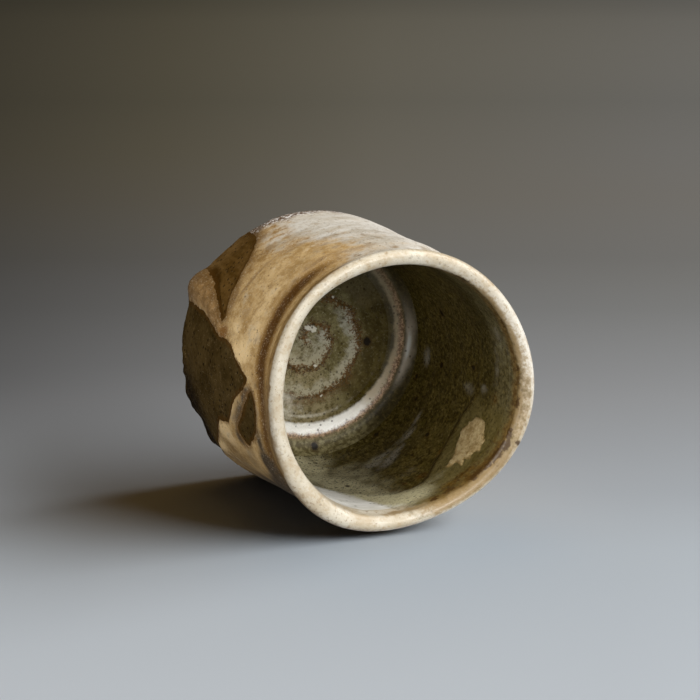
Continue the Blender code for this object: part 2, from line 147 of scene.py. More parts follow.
# Soft blots on the glazes, among them painted shade, painted sheen and painted light: azimuth, height, half length mm,
# half height mm, slant, share.
WARM_CREAM = ((31, 37.0, 4.0, 5.5, 25, 1.0), (24, 32.0, 4.5, 3.0, 0, 0.7), (8, 38.5, 8.0, 3.5, 0, 0.7),
              (-4, 32.0, 6.0, 2.2, 0, 0.5), (68, 26.0, 3.8, 5.0, -35, 1.2), (57, 33.2, 5.0, 0.9, -42, 0.6),
              (57, 49.6, 3.0, 0.8, 0, 0.6), (80, 18.5, 3.4, 3.0, -40, 1.0), (-20, 33.0, 3.5, 1.6, 0, 0.35),
              (2, 36.0, 4.0, 3.0, 0, 0.5), (20, 40.5, 4.0, 2.6, 0, 0.7))
TAN_CLOUD = ((-38, 43.6, 5.5, 1.6, 0, 0.9), (-46, 35.0, 2.2, 3.2, 20, 0.7), (-31, 39.0, 4.0, 2.4, 10, 0.45),
             (-35, 31.0, 7.0, 1.5, 5, 0.6), (-25, 35.5, 3.5, 2.6, 0, 0.45), (-20, 28.4, 6.0, 1.0, 0, 0.75),
             (0, 27.2, 12.0, 0.9, 0, 0.85), (12, 25.2, 6.0, 1.6, 20, 0.85), (0, 22.6, 5.0, 1.4, 15, 0.6),
             (-13, 21.2, 1.6, 1.3, 0, 0.9), (-16, 11.0, 1.6, 4.5, 0, 0.9), (16, 33.5, 3.0, 3.0, 0, 0.6),
             (-14, 38.0, 3.0, 4.0, 0, 0.4), (-26, 22.0, 5.0, 1.2, 0, 0.4), (-20, 14.5, 3.0, 1.6, 30, 0.5),
             (28, 27.0, 1.3, 2.0, 0, 1.0), (0, 42.8, 9.0, 1.6, 0, 0.6), (30, 43.0, 5.0, 1.6, 20, 0.35),
             (-20, 41.8, 6.5, 1.4, 0, 0.85), (-26, 43.2, 4.0, 1.3, 0, 0.75), (-15, 40.7, 4.0, 1.4, 0, 0.65))
# Painted shade: dark blots on the outside, on the side round azimuths 40 to 112 that lies towards the floor, and under
# the lip there.
DUSK = ((84, 43.8, 8.0, 3.2, 0, 1.2), (93, 42.0, 5.0, 7.0, 0, 1.3), (101, 31.0, 5.0, 10.0, 0, 1.3), (112, 26.0, 6.0, 30.0, 0, 1.3),
        (66, 44.0, 6.0, 1.5, -4, 0.9), (76, 43.5, 4.0, 3.0, 0, 0.8), (80, 34.0, 3.4, 5.0, 0, 0.4),
        (103, 18.0, 4.0, 8.0, 0, 0.9), (46, 43.0, 3.0, 2.2, 20, 0.75), (90, 27.0, 2.6, 5.0, 0, 0.4),
        (48, 40.6, 2.6, 2.0, -30, 1.1), (58, 38.0, 8.0, 3.6, -38, 0.9), (68, 34.4, 2.6, 2.6, 0, 1.0),
        (62, 44.2, 4.0, 1.8, 0, 0.8), (77, 43.6, 4.0, 2.6, 0, 1.4), (56, 44.8, 4.0, 1.2, 0, 0.6),
        (40, 44.6, 3.0, 1.4, 0, 0.45), (71, 37.0, 3.0, 3.0, 0, 0.5))
LIP_RUST = ((112, 0, 14.0, 9.0, 0, 0.9), (92, 0, 8.0, 9.0, 0, 0.8), (140, 0, 9.0, 9.0, 0, 0.5), (62, 0, 9.0, 9.0, 0, 0.4), (80, 0, 8.0, 9.0, 0, 0.4),
            (-140, 0, 9.0, 9.0, 0, 0.35))
# Painted sheen: pale blots and streaks on the inner glaze, standing in for its reflections.
MIST = ((-150, 33.4, 2.2, 3.2, 0, 0.6), (-137, 44.8, 6.0, 1.4, 0, 0.5), (-126, 45.2, 4.0, 1.8, 0, 0.45),
        (-147, 40.0, 1.6, 2.0, 0, 0.6), (-198, 33.0, 4.0, 2.6, 0, 0.4), (-156, 49.5, 1.5, 2.0, 0, 0.4),
        (-117, 48.0, 3.0, 2.0, 0, 0.6), (-79, 52.0, 1.8, 2.0, 0, 0.7), (-200, 18.9, 3.4, 1.4, 0, 1.0),
        (-184, 18.2, 6.5, 1.1, 0, 0.6), (-145, 12.9, 2.8, 1.7, 0, 0.9), (-160, 22.0, 4.0, 1.0, 0, 0.3),
        (-206, 20.5, 3.0, 1.8, 20, 0.9), (-220, 38.5, 5.0, 1.4, 12, 0.7),
        (-193, 21.0, 3.4, 1.3, 0, 0.9), (-184, 19.4, 3.4, 1.1, 0, 0.85), (-175, 18.2, 3.2, 1.0, 0, 0.8),
        (-203, 23.6, 3.2, 2.0, 0, 0.85), (-199, 22.2, 3.0, 1.5, 0, 1.0))
AMBER = ((-175, 52.8, 8.0, 1.8, 0, 0.9), (-186, 52.4, 1.6, 2.6, 0, 1.0), (-204, 51.4, 2.0, 1.5, 0, 0.8),
         (-160, 52.5, 4.0, 1.6, 0, 0.6), (-212, 37.2, 1.1, 1.4, 0, 0.9), (-205, 36.8, 0.9, 1.6, 0, 0.8),
         (-197, 37.4, 2.8, 2.2, 0, 0.75), (-206, 40.0, 5.0, 1.6, 0, 0.5), (-128, 52.5, 9.0, 1.2, 0, 0.6),
         (-88, 48.0, 1.6, 4.0, 0, 0.6), (-149, 45.5, 2.2, 2.0, 0, 0.7), (-105, 52.0, 5.0, 1.5, 0, 0.6),
         (-140, 38.5, 3.0, 2.0, 0, 0.4), (-190, 27.0, 6.0, 3.0, 0, 0.45), (-60, 51.0, 6.0, 2.0, 0, 0.5),
         (0, 50.0, 10.0, 2.0, 0, 0.4), (-218, 30.0, 3.0, 4.0, 0, 0.4), (-180, 34.2, 4.0, 1.0, 0, 0.8),
         (-192, 50.0, 6.0, 2.4, 0, 0.9), (-182, 50.5, 5.0, 2.0, 0, 0.8), (-168, 51.0, 5.0, 2.0, 0, 0.6))
# Pale greenish blots low inside on one side: partly paler glaze, partly painted light.
FADED = ((-238, 17.0, 6.0, 11.0, 0, 1.3), (-229, 26.5, 5.5, 8.0, 0, 1.2), (-221, 31.5, 4.5, 6.0, 0, 0.85),
         (-226, 38.0, 7.0, 6.0, 0, 1.1), (-213, 46.0, 6.5, 5.0, 0, 1.1), (-220, 44.5, 4.0, 6.0, 0, 1.3),
         (-205, 45.5, 4.0, 3.5, 0, 0.45), (-228, 11.0, 7.0, 4.0, 0, 0.60),
         (-196, 43.5, 5.0, 2.5, 0, 0.42), (-214, 32.0, 5.0, 4.0, 0, 0.50), (-204, 19.0, 5.0, 2.0, 0, 0.65),
         (-216, 21.5, 4.0, 4.5, 0, 0.62), (-118, 48.0, 9.0, 4.0, 0, 0.30),
         (-222, 19.5, 4.5, 3.6, 0, 0.72), (-215, 26.0, 3.5, 3.5, 0, 0.62), (-218, 16.6, 4.5, 2.4, 0, 0.60))


# ------------------------------------------------------------------- helpers
def smooth(stations, at):
    """Smooth curve through (position, value) stations, without overshoot."""
    xs = np.array([s[0] for s in stations], float)
    ys = np.array([s[1] for s in stations], float)
    at = np.clip(np.asarray(at, float), xs[0], xs[-1])
    step = np.diff(ys) / np.diff(xs)
    slope = np.zeros_like(ys)
    slope[0], slope[-1] = step[0], step[-1]
    for i in range(1, len(ys) - 1):
        if step[i - 1] * step[i] > 0.0:
            slope[i] = 2.0 * step[i - 1] * step[i] / (step[i - 1] + step[i])
    i = np.clip(np.searchsorted(xs, at) - 1, 0, len(xs) - 2)
    h = xs[i + 1] - xs[i]
    t = (at - xs[i]) / h
    return (ys[i] * (1 + 2 * t) * (1 - t) ** 2 + slope[i] * h * t * (1 - t) ** 2
            + ys[i + 1] * t * t * (3 - 2 * t) + slope[i + 1] * h * t * t * (t - 1))


def line(stations, at):
    return np.interp(at, [s[0] for s in stations], [s[1] for s in stations])


def ease(t):
    t = np.clip(t, 0.0, 1.0)
    return t * t * (3.0 - 2.0 * t)


def wrap(azimuth):
    return (np.asarray(azimuth, float) + 180.0) % 360.0 - 180.0


def near(azimuth, middle):
    """Azimuth counted so that it runs on without a break around middle."""
    return middle + wrap(np.asarray(azimuth, float) - middle)


def grain(phi, v, cells, seed):
    """Soft noise from -1 to 1 on the wall, closed around the axis.

    There are cells lumps around the cup, and v counts lumps the other way.
    """
    table = np.random.RandomState(seed).uniform(-1.0, 1.0, (64, cells))
    u = np.asarray(phi, float) / 360.0 * cells
    i, j = np.floor(u).astype(int), np.floor(v).astype(int)
    fu, fv = ease(u - i), ease(v - j)
    i0, i1, j0, j1 = i % cells, (i + 1) % cells, j % 64, (j + 1) % 64
    return ((table[j0, i0] * (1 - fu) + table[j0, i1] * fu) * (1 - fv)
            + (table[j1, i0] * (1 - fu) + table[j1, i1] * fu) * fv)


def inside_outline(phi, z, outline, radius=30.4):
    """Distance in mm inside a closed (azimuth, height) outline, negative outside."""
    middle = 0.5 * (min(p[0] for p in outline) + max(p[0] for p in outline))
    x = np.radians(near(phi, middle)) * radius
    y = np.asarray(z, float) + 0.0 * x
    px = np.radians(np.array([p[0] for p in outline], float)) * radius
    py = np.array([p[1] for p in outline], float)
    best = np.full(x.shape, 1e9)
    inside = np.zeros(x.shape, bool)
    for k in range(len(px)):
        ax, ay = px[k], py[k]
        bx, by = px[(k + 1) % len(px)], py[(k + 1) % len(px)]
        dx, dy = bx - ax, by - ay
        t = np.clip(((x - ax) * dx + (y - ay) * dy) / (dx * dx + dy * dy), 0.0, 1.0)
        best = np.minimum(best, np.hypot(x - ax - t * dx, y - ay - t * dy))
        if dy != 0.0:
            crossing = ((ay > y) != (by > y)) & (x < dx * (y - ay) / dy + ax)
            inside ^= crossing
    return np.where(inside, best, -best)


def blots(phi, z, spots, radius=30.0):
    """Soft blots, the strongest at each place."""
    field = np.zeros(np.broadcast(phi, z).shape)
    for az, height, half_x, half_z, slant, share in spots:
        x = np.radians(wrap(phi - az)) * radius
        y = z - height
        c, s = math.cos(math.radians(slant)), math.sin(math.radians(slant))
        field = np.maximum(field, share * np.exp(-((x * c + y * s) / half_x) ** 2
                                                 - ((y * c - x * s) / half_z) ** 2))
    return field


# ------------------------------------------------------- the thrown surfaces
def wobble(phi, z, lobes=1.0):
    a = np.radians(phi)
    return (smooth(LEAN_X, z) * np.cos(a) + smooth(LEAN_Y, z) * np.sin(a)
            + lobes * smooth(LOBE3, z) * np.cos(3 * (a + math.radians(22.0)))
            + lobes * smooth(LOBE4, z) * np.cos(4 * (a - math.radians(12.0))))


def groove(phi, z):
    """Share of the groove under the lip, 1 along its middle."""
    away = z - smooth(GROOVE_Z, wrap(phi)) - 0.35 * grain(phi, 0.0 * z, 22, 5)
    return smooth(GROOVE_SHARE, wrap(phi)) * np.exp(-(away / np.where(away < 0.0, 1.5, 2.2)) ** 2)


def uncut_wall(phi, z):
    """Radius of the outside as thrown, with its base edge still square."""
    r = smooth(OUTSIDE, z) + wobble(phi, z)
    rings = 0.03 * np.sin(2 * math.pi * (z / 7.4 + phi / 360.0)) * ease((z - 3.0) / 5.0)
    lumps = 0.14 * grain(phi, z / 10.0, 12, 1) + 0.05 * grain(phi, z / 4.0, 34, 2) - 0.16
    for az, height, half_az, half_z, out in SWELLS:
        r = r + out * np.exp(-(wrap(phi - az) / half_az) ** 2 - ((z - height) / half_z) ** 2)
    return r + (rings + lumps) * ease((54.0 - z) / 4.0) - 0.40 * groove(phi, z)


def rounding(phi, z):
    """What the rounded base edge takes off."""
    wide = line(ROUNDING, wrap(phi)) * BASE_ROUND * (1.0 - ease(z / 8.0)) ** 1.5
    knob = 1.3 * np.exp(-(wrap(phi - 15.5) / 9.0) ** 2) * (1.0 - ease(z / 3.2)) ** 1.6
    return wide + knob


def thrown_wall(phi, z):
    """Radius of the outside with its rounded base edge, before shaving."""
    return uncut_wall(phi, z) - rounding(phi, z)


def rib_line(z):
    """Azimuth of the rib's crest."""
    return smooth(RIB_AZ, z)


def rib_side(phi, z):
    """Distance from the rib's crest in half widths, negative towards lower azimuths."""
    return np.radians(wrap(phi - rib_line(z))) * 30.4 / smooth(RIB_HALF, z)


def cuts(phi, z):
    """Depth of the facets, and distance in mm inside their outlines."""
    depth = np.zeros(np.broadcast(phi, z).shape)
    inside = np.full(depth.shape, -50.0)
    rib = rib_side(phi, z)
    for facet in FACETS:
        lo, hi = facet["outline"][0][0], facet["outline"][-1][0]
        az = near(phi, 0.5 * (lo + hi))
        d = inside_outline(phi, z, facet["outline"])
        inside = np.maximum(inside, d)
        run = np.clip(1.0 - z / np.maximum(line(facet["top"], az), 1.0), 0.0, 1.0)
        if facet["rib"]:
            side = ease(facet["rib"] * rib / 1.3)
            reach = az > lo - 12.0 if facet["rib"] < 0 else az < hi + 12.0
            side = side * reach
        else:
            side = ease((d + 0.5) / 4.0)
        cut = line(facet["depth"], az) * run * side + 0.12 * ease((d + 0.2) / 1.6)
        depth = np.maximum(depth, cut)
    # Narrow gouge along the foot of the rib.
    depth = depth + (0.35 * np.exp(-((rib + 1.3) / 0.28) ** 2) * ease((z - 5.0) / 4.0)
                     * ease((25.0 - z) / 5.0))
    scrape = inside_outline(phi, z, SCRAPE)
    depth = np.maximum(depth, 0.40 * ease(scrape / 2.4))
    return depth, np.maximum(inside, scrape)


def clay_wall(phi, z):
    """Radius of the clay, and distance in mm inside the slip-coated area."""
    depth, cut = cuts(phi, z)
    ragged = 0.22 * grain(phi, z / 1.3, 150, 11) + 0.12 * grain(phi, z / 0.6, 300, 12)
    coated = -cut + ragged
    foot = z - 1.2 - 0.6 * grain(phi, 0.0 * z, 40, 13) - 0.4 * grain(phi, 0.0 * z, 130, 14)
    coated = np.minimum(coated, foot)
    bare = ease((0.15 - coated) / 0.8)
    shave = 0.08 * grain(phi, z / 7.0, 60, 21) + 0.05 * grain(phi, z / 1.6, 110, 22)
    # Coarse chipped clay low on the large facet.
    chips = (-0.25 + 0.40 * grain(phi, z / 3.5, 60, 23) + 0.28 * grain(phi, z / 1.4, 140, 24)
             + 0.12 * grain(phi, z / 0.8, 230, 25))
    chips = 0.7 * chips + 0.50 * ease((wrap(phi) - 48.0) / 10.0) * ease((82.0 - wrap(phi)) / 20.0)
    shave = shave + chips * ease((wrap(phi) - 34.0) / 16.0) * ease((99.0 - wrap(phi)) / 8.0) * ease((11.0 - z) / 8.0)
    edge = rounding(phi, z)
    taken = np.where(depth > edge, depth, edge)
    both = np.clip(1.0 - np.abs(depth - edge) / 0.8, 0.0, 1.0)
    taken = taken + 0.2 * both * both * (np.minimum(depth, edge) > 0.01)
    return uncut_wall(phi, z) - taken - COAT_STEP + shave * bare, coated


def inside_wall(phi, z):
    r = smooth(INSIDE, z) + wobble(phi, z, 0.8) * ease((z - 2.0) / 12.0)
    high = ease((z - 40.0) / 10.0)
    r = r - 0.8 * high * np.exp(-(wrap(phi - 88.0) / 24.0) ** 2)
    r = r + 0.6 * high * np.exp(-(wrap(phi + 2.0) / 16.0) ** 2)
    under = band_edge(phi, z)
    r = r + 0.6 * smooth(BAND_SHARE, wrap(phi)) * ease(-under / 1.8) * (1.0 - 0.55 * ease((-under - 2.0) / 14.0))
    turn = z / 6.3 + phi / 360.0
    rings = 0.05 * np.cos(2 * math.pi * turn) * ease((z - 9.0) / 4.0) * ease(-under / 4.0)
    lumps = 0.10 * grain(phi, z / 6.0, 16, 31) + 0.04 * grain(phi, z / 2.0, 60, 32)
    return r + rings + lumps * ease((z - 8.5) / 3.0) * ease((53.0 - z) / 2.0)


def band_edge(phi, z):
    """Height in mm above the edge of the thickened band inside the lip."""
    return z - smooth(BAND_Z, wrap(phi)) - 0.5 * grain(phi, 0.0 * z, 30, 33)


def spiral_phase(phi, r):
    """Turns counted outwards from the spiral's edge; whole numbers are edges."""
    ragged = 0.45 * grain(phi, r / 2.2, 36, 41) + 0.28 * grain(phi, r / 1.1, 84, 42)
    return (r + ragged - SPIRAL_START) / SPIRAL_PITCH + wrap(phi - SPIRAL_AZ) / 360.0


def floor_height(phi, r):
    shift = 0.45 * np.cos(np.radians(phi + 115.0)) * ease((r - 12.0) / 6.0) * ease((24.4 - r) / 1.5)
    z = smooth(FLOOR, r - shift)
    u = spiral_phase(phi, r) % 1.0
    crest = ease(u / 0.8) * (1.0 - ease((u - 0.86) / 0.14))
    fade = ease((r - 1.2) / 2.5) * ease((18.5 - r) / 4.0)
    rise = 0.42 * crest * fade * (1.0 - 0.45 * ease((r - 12.5) / 3.0))
    boss = 0.45 * np.exp(-(r / 3.2) ** 4)
    return z + rise + boss + 0.04 * grain(phi, r / 2.0, 30, 43) * ease(r / 4.0) * ease((20.0 - r) / 3.0)


# -------------------------------------------------------------- mesh makers
PHI = np.array([360.0 * k / COLS for k in range(COLS)])


def build(name, radius, height, fields, loop, points=()):
    """Mesh from rows of radius and height (rows x COLS).

    loop joins the last row to the first; points closes the first and the last
    row with a vertex on the axis.  fields are named numbers per vertex.
    """
    rows = radius.shape[0]
    a = np.radians(PHI)[None, :]
    xyz = np.stack([radius * np.cos(a) + AXIS_X, radius * np.sin(a) + AXIS_Y,
                    height + 0.0 * radius], axis=-1).reshape(-1, 3)
    k = np.arange(COLS)
    n = (k + 1) % COLS
    quads = []
    for r in range(rows if loop else rows - 1):
        s = (r + 1) % rows
        quads.append(np.stack([r * COLS + k, r * COLS + n, s * COLS + n, s * COLS + k], axis=-1))
    faces = [tuple(q) for q in np.concatenate(quads).tolist()]
    verts = xyz.tolist()
    extra = []
    for which in points:
        row = 0 if which == "first" else rows - 1
        ring = xyz[row * COLS:(row + 1) * COLS]
        tip = len(verts)
        verts.append([AXIS_X, AXIS_Y, float(ring[:, 2].mean())])
        extra.append(row)
        for i, j in zip(k.tolist(), n.tolist()):
            p, q = row * COLS + i, row * COLS + j
            faces.append((tip, q, p) if which == "first" else (p, q, tip))
    mesh = bpy.data.meshes.new(name)
    mesh.from_pydata([[c * MM for c in v] for v in verts], [], faces)
    for key, values in fields.items():
        values = np.broadcast_to(values, radius.shape).reshape(-1)
        values = np.concatenate([values] + [[values[row * COLS:(row + 1) * COLS].mean()] for row in extra])
        layer = mesh.attributes.new(key, "FLOAT", "POINT")
        layer.data.foreach_set("value", np.ascontiguousarray(values, np.float32))
    return finish(name, mesh)


def finish(name, mesh):
    import bmesh
    bm = bmesh.new()
    bm.from_mesh(mesh)
    bmesh.ops.recalc_face_normals(bm, faces=bm.faces[:])
    bm.to_mesh(mesh)
    bm.free()
    mesh.shade_smooth()
    mesh.set_sharp_from_angle(angle=math.radians(60.0))
    mesh.update()
    obj = bpy.data.objects.new(name, mesh)
    bpy.context.scene.collection.objects.link(obj)
    return obj


def stack(*blocks):
    return np.concatenate([np.atleast_2d(b) for b in blocks], axis=0)


def grid(heights):
    heights = np.asarray(heights, float)
    return np.meshgrid(PHI, heights)


def shell(name, radius, height, back_radius, back_height, fields):
    """Closed coat: its outer rows, and the rows of its hidden back in reverse."""
    r = stack(radius, back_radius[::-1])
    z = stack(height, back_height[::-1])
    both = {}
    for key, values in fields.items():
        values = np.broadcast_to(values, radius.shape)
        step = np.linspace(0, len(values) - 1, back_radius.shape[0]).round().astype(int)
        both[key] = stack(values, values[step][::-1])
    return build(name, r, z, both, True)


def lip_rows(count_out=10, count_arc=22, count_in=9):
    """Rows (radius, height) over the lip, outside to inside."""
    low = 49.6
    rows = []
    for z in np.linspace(low, 53.3, count_out):
        zz = z + 0.0 * PHI
        rows.append((thrown_wall(PHI, zz), zz))
    zo, zi = 53.4 + 0.0 * PHI, 53.2 + 0.0 * PHI
    outer, inner = thrown_wall(PHI, zo), inside_wall(PHI, zi)
    crest_r = 0.5 * (outer + inner) + 0.35
    crest_z = HEIGHT - 0.12 - 0.12 * grain(PHI, 0.0 * PHI, 9, 51)
    for s in np.linspace(0.0, 0.5, count_arc // 2, endpoint=False) * math.pi:
        rows.append((crest_r + (outer - crest_r) * math.cos(s), zo + (crest_z - zo) * math.sin(s)))
    for s in np.linspace(0.5, 0.0, count_arc // 2 + 1) * math.pi:
        rows.append((crest_r + (inner - crest_r) * math.cos(s), zi + (crest_z - zi) * math.sin(s)))
    for z in np.linspace(53.1, 50.0, count_in):
        zz = z + 0.0 * PHI
        rows.append((inside_wall(PHI, zz), zz))
    return np.array([r for r, _ in rows]), np.array([z for _, z in rows])


def spot_field(phi, z, radius):
    """Iron spots: 1 in the middle of a spot, 0 at its edge, negative outside."""
    field = np.full(np.broadcast(phi, z).shape, -6.0)
    for az, height, half_x, half_z, slant in SPOTS:
        x = np.radians(wrap(phi - az)) * radius
        y = z - height
        c, s = math.cos(math.radians(slant)), math.sin(math.radians(slant))
        field = np.maximum(field, 1.0 - np.hypot((x * c + y * s) / half_x, (y * c - x * s) / half_z))
    return field


def rusty_edge(phi):
    """1 where the lip's ivory ends in a sharp rusty margin, 0 where it fades slowly."""
    return 1.0 - ease((wrap(phi) - 70.0) / 30.0) * ease((156.0 - wrap(phi)) / 10.0)


def inner_fields(phi, z, wall=True):
    """Named numbers that the inner glazes are painted by."""
    zero = 0.0 * phi + 0.0 * z
    fields = dict(rise=z + zero, band=zero + 9.0, share=zero, ivory=zero - 9.0, mist=zero, amber=zero,
                  faded=zero, rusty=zero, spot=zero - 6.0)
    if wall:
        fields.update(band=band_edge(phi, z), share=smooth(BAND_SHARE, wrap(phi)) + zero,
                      ivory=(smooth(IVORY, wrap(phi)) - (HEIGHT - z)) * (0.32 + 0.68 * rusty_edge(phi)),
                      rusty=rusty_edge(phi) + zero, mist=blots(phi, z, MIST, 26.5),
                      amber=blots(phi, z, AMBER, 26.5), faded=blots(phi, z, FADED, 26.5),
                      spot=spot_field(phi, z, 26.5))
    return fields


def make_clay():
    """Foot ring and recess, shaved outside, and a hidden face under the glazes."""
    base = thrown_wall(PHI, 0.0 * PHI)
    z0 = 0.0 * PHI
    foot_edge, _ = clay_wall(PHI, z0)
    rr, zz = [], []
    for share in np.linspace(0.04, 0.9, 14):
        r = RECESS_R * share + 0.0 * PHI
        rr.append(r)
        zz.append(RECESS_DEPTH - 0.12 + 0.05 * grain(PHI, r / 2.5, 24, 61)
                  + 0.05 * np.sin(r * 2.2 + np.radians(PHI)))
    for share in np.linspace(0.0, 1.0, 6):
        rr.append(RECESS_R * 0.93 + (RECESS_R * 0.07 + 0.4) * share + 0.12 * grain(PHI, z0, 20, 62))
        zz.append(RECESS_DEPTH * (1.0 - ease(share)) - 0.12 * (1.0 - share) + 0.0 * PHI)
    inner_edge = rr[-1]
    for share in np.linspace(0.12, 1.0, 14):
        r = inner_edge + (foot_edge - 0.9 - inner_edge) * share
        rr.append(r)
        zz.append(0.03 + 0.03 * grain(PHI, r / 1.2, 80, 63) + 0.0 * PHI)
    for s in np.linspace(0.15, 0.85, 5) * math.pi / 2:
        r, _ = clay_wall(PHI, z0 + 0.9 * (1 - math.cos(s)))
        rr.append(r - 0.9 + 0.9 * math.sin(s))
        zz.append(0.9 * (1 - math.cos(s)) + 0.02 + 0.0 * PHI)
    rr, zz = np.array(rr), np.array(zz)
    phi, z = grid(np.linspace(0.9, 50.5, 118))
    wall, coated = clay_wall(phi, z)
    hidden_z = np.array([50.5, 44.0, 34.0, 24.0, 14.0, 9.5])
    hp, hz = grid(hidden_z)
    hidden_r = inside_wall(hp, hz) + 0.8
    floor_r = np.array([24.0, 21.5, 16.0, 10.0, 5.0, 1.0])[:, None] + 0.0 * PHI[None, :]
    floor_z = np.array([5.6, 4.6, 4.2, 4.2, 4.2, 4.2])[:, None] + 0.0 * PHI[None, :]
    radius = stack(rr, wall, hidden_r, floor_r)
    height = stack(zz, z, hz, floor_z)
    inner = np.full(hidden_r.shape[0] + floor_r.shape[0], 0)
    field = stack(np.full(rr.shape, -4.0), coated, np.full((len(inner), COLS), 4.0))
    light = 1.0 - ease((wrap(PHI)[None, :] - rib_line(height)) / 8.0 + 0.5)
    light = light * ease((wrap(PHI)[None, :] + 60.0) / 40.0)
    side = rib_side(PHI[None, :] + 0.0 * height, height)
    # Painted shade in the crease along the foot of the rib.
    fold = np.exp(-((side + 1.35) / 0.45) ** 2) * ease((height - 2.0) / 5.0) * ease((27.0 - height) / 3.0)
    harsh = ease((wrap(PHI)[None, :] - 42.0) / 22.0) * ease((14.0 - height + 0.10 * (wrap(PHI)[None, :] - 60.0)) / 8.0)
    return build("clay_shaved_body", radius, height,
                 dict(coated=field, light=light, rise=height, fold=fold, harsh=harsh), False, ("first", "last"))


def make_coat():
    """Slip over the outside, sinking into the clay where it has been cut away."""
    phi, z = grid(np.concatenate([np.linspace(0.5, 49.0, 116), [49.4, 49.8]]))
    clay, coated = clay_wall(phi, z)
    lift = -0.25 + (COAT_STEP + 0.25) * ease((coated + 0.45) / 1.2)
    lift = lift - 0.2 * ease((z - 49.3) / 0.5)
    rib = np.exp(-(rib_side(phi, z) / 1.25) ** 2) * ease((30.0 - z) / 7.0)
    head = blots(phi, z, ((27.0, 27.4, 1.7, 2.2, 20, 1.0),))
    white = ease((-46.0 - wrap(phi)) / 18.0) * ease((wrap(phi) + 120.0) / 40.0)
    pale = ease((smooth(PALE_AZ, z) - wrap(phi)) / 34.0 + 0.5) * ease((wrap(phi) + 178.0) / 30.0)
    # The slip's margin is wider towards the lesser facet and round the scrape.
    hem = 1.0 + 3.0 * ease((rib_line(z) - wrap(phi)) / 6.0) + 1.2 * ease(inside_outline(phi, z, SCRAPE) / 3.0 + 1.0)
    frost = (ease((wrap(phi) + 95.0) / 20.0) * ease((-13.0 - wrap(phi)) / 6.0)
             * ease((12.0 - z + 1.5 * grain(phi, z / 3.0, 60, 15)) / 4.0))
    fields = dict(coated=coated, rise=z, groove=groove(phi, z), rib=rib, head=head, white=white, pale=pale, hem=hem, frost=frost,
                  cream=blots(phi, z, WARM_CREAM), cloud=blots(phi, z, TAN_CLOUD), dusk=blots(phi, z, DUSK))
    step = np.linspace(0, len(phi) - 1, 40).round().astype(int)
    return shell("slip_coat_outside", clay + lift, z, (clay - 0.55)[step], z[step], fields)


def make_lip():
    r, z = lip_rows()
    along = np.concatenate([[0.0], np.cumsum(np.hypot(np.diff(r, axis=0), np.diff(z, axis=0)).mean(axis=1))])
    crest = int(np.argmax(z.mean(axis=1)))
    along = (along - along[crest])[:, None] + 0.0 * r          # negative outside, positive inside
    phi = PHI[None, :] + 0.0 * r
    dr, dz = np.gradient(r, axis=0), np.gradient(z, axis=0)
    size = np.maximum(np.hypot(dr, dz), 1e-6)
    back_r, back_z = r - 0.5 * dz / size, z + 0.5 * dr / size
    # The rows run up outside and down inside, so the clay is on their right.
    if back_z[crest].mean() > z[crest].mean():
        back_r, back_z = r + 0.5 * dz / size, z - 0.5 * dr / size
    step = np.linspace(0, len(r) - 1, 16).round().astype(int)
    fields = inner_fields(phi, z)
    # Painted highlight: glow whitens the lip's ivory round azimuth -122.
    fields.update(groove=groove(phi, z) * (along < 0), along=along, bare=ease((wrap(phi) + 30.0) / 20.0),
                  ivory=np.where(along < 0.0, smooth(IVORY, wrap(phi)) - along, fields["ivory"]),
                  stain=blots(phi, along, tuple((az, at, a, b, 0, 1.0) for az, at, a, b in STAINS), 28.5),
                  notch=blots(phi, along, tuple((az, at, a, b, 0, 1.0) for az, at, a, b in NOTCHES), 28.5),
                  glow=np.exp(-(wrap(phi + 122.0) / 30.0) ** 2), amber=fields["amber"] * (along > 0.0),
                  mist=fields["mist"] * (along > 0.0), under=blots(phi, 0.0 * z, LIP_RUST),
                  pale=ease((-24.0 - wrap(phi)) / 14.0 + 0.5) * ease((wrap(phi) + 178.0) / 30.0))
    return shell("lip_roll", r, z, back_r[step], back_z[step], fields)


def make_inner_wall():
    phi, z = grid(np.linspace(9.0, 50.0, 104))
    r = inside_wall(phi, z)
    fields = inner_fields(phi, z)
    step = np.linspace(0, len(phi) - 1, 30).round().astype(int)
    return shell("ash_glaze_wall", r, z, r[step] + 0.6, z[step], fields)


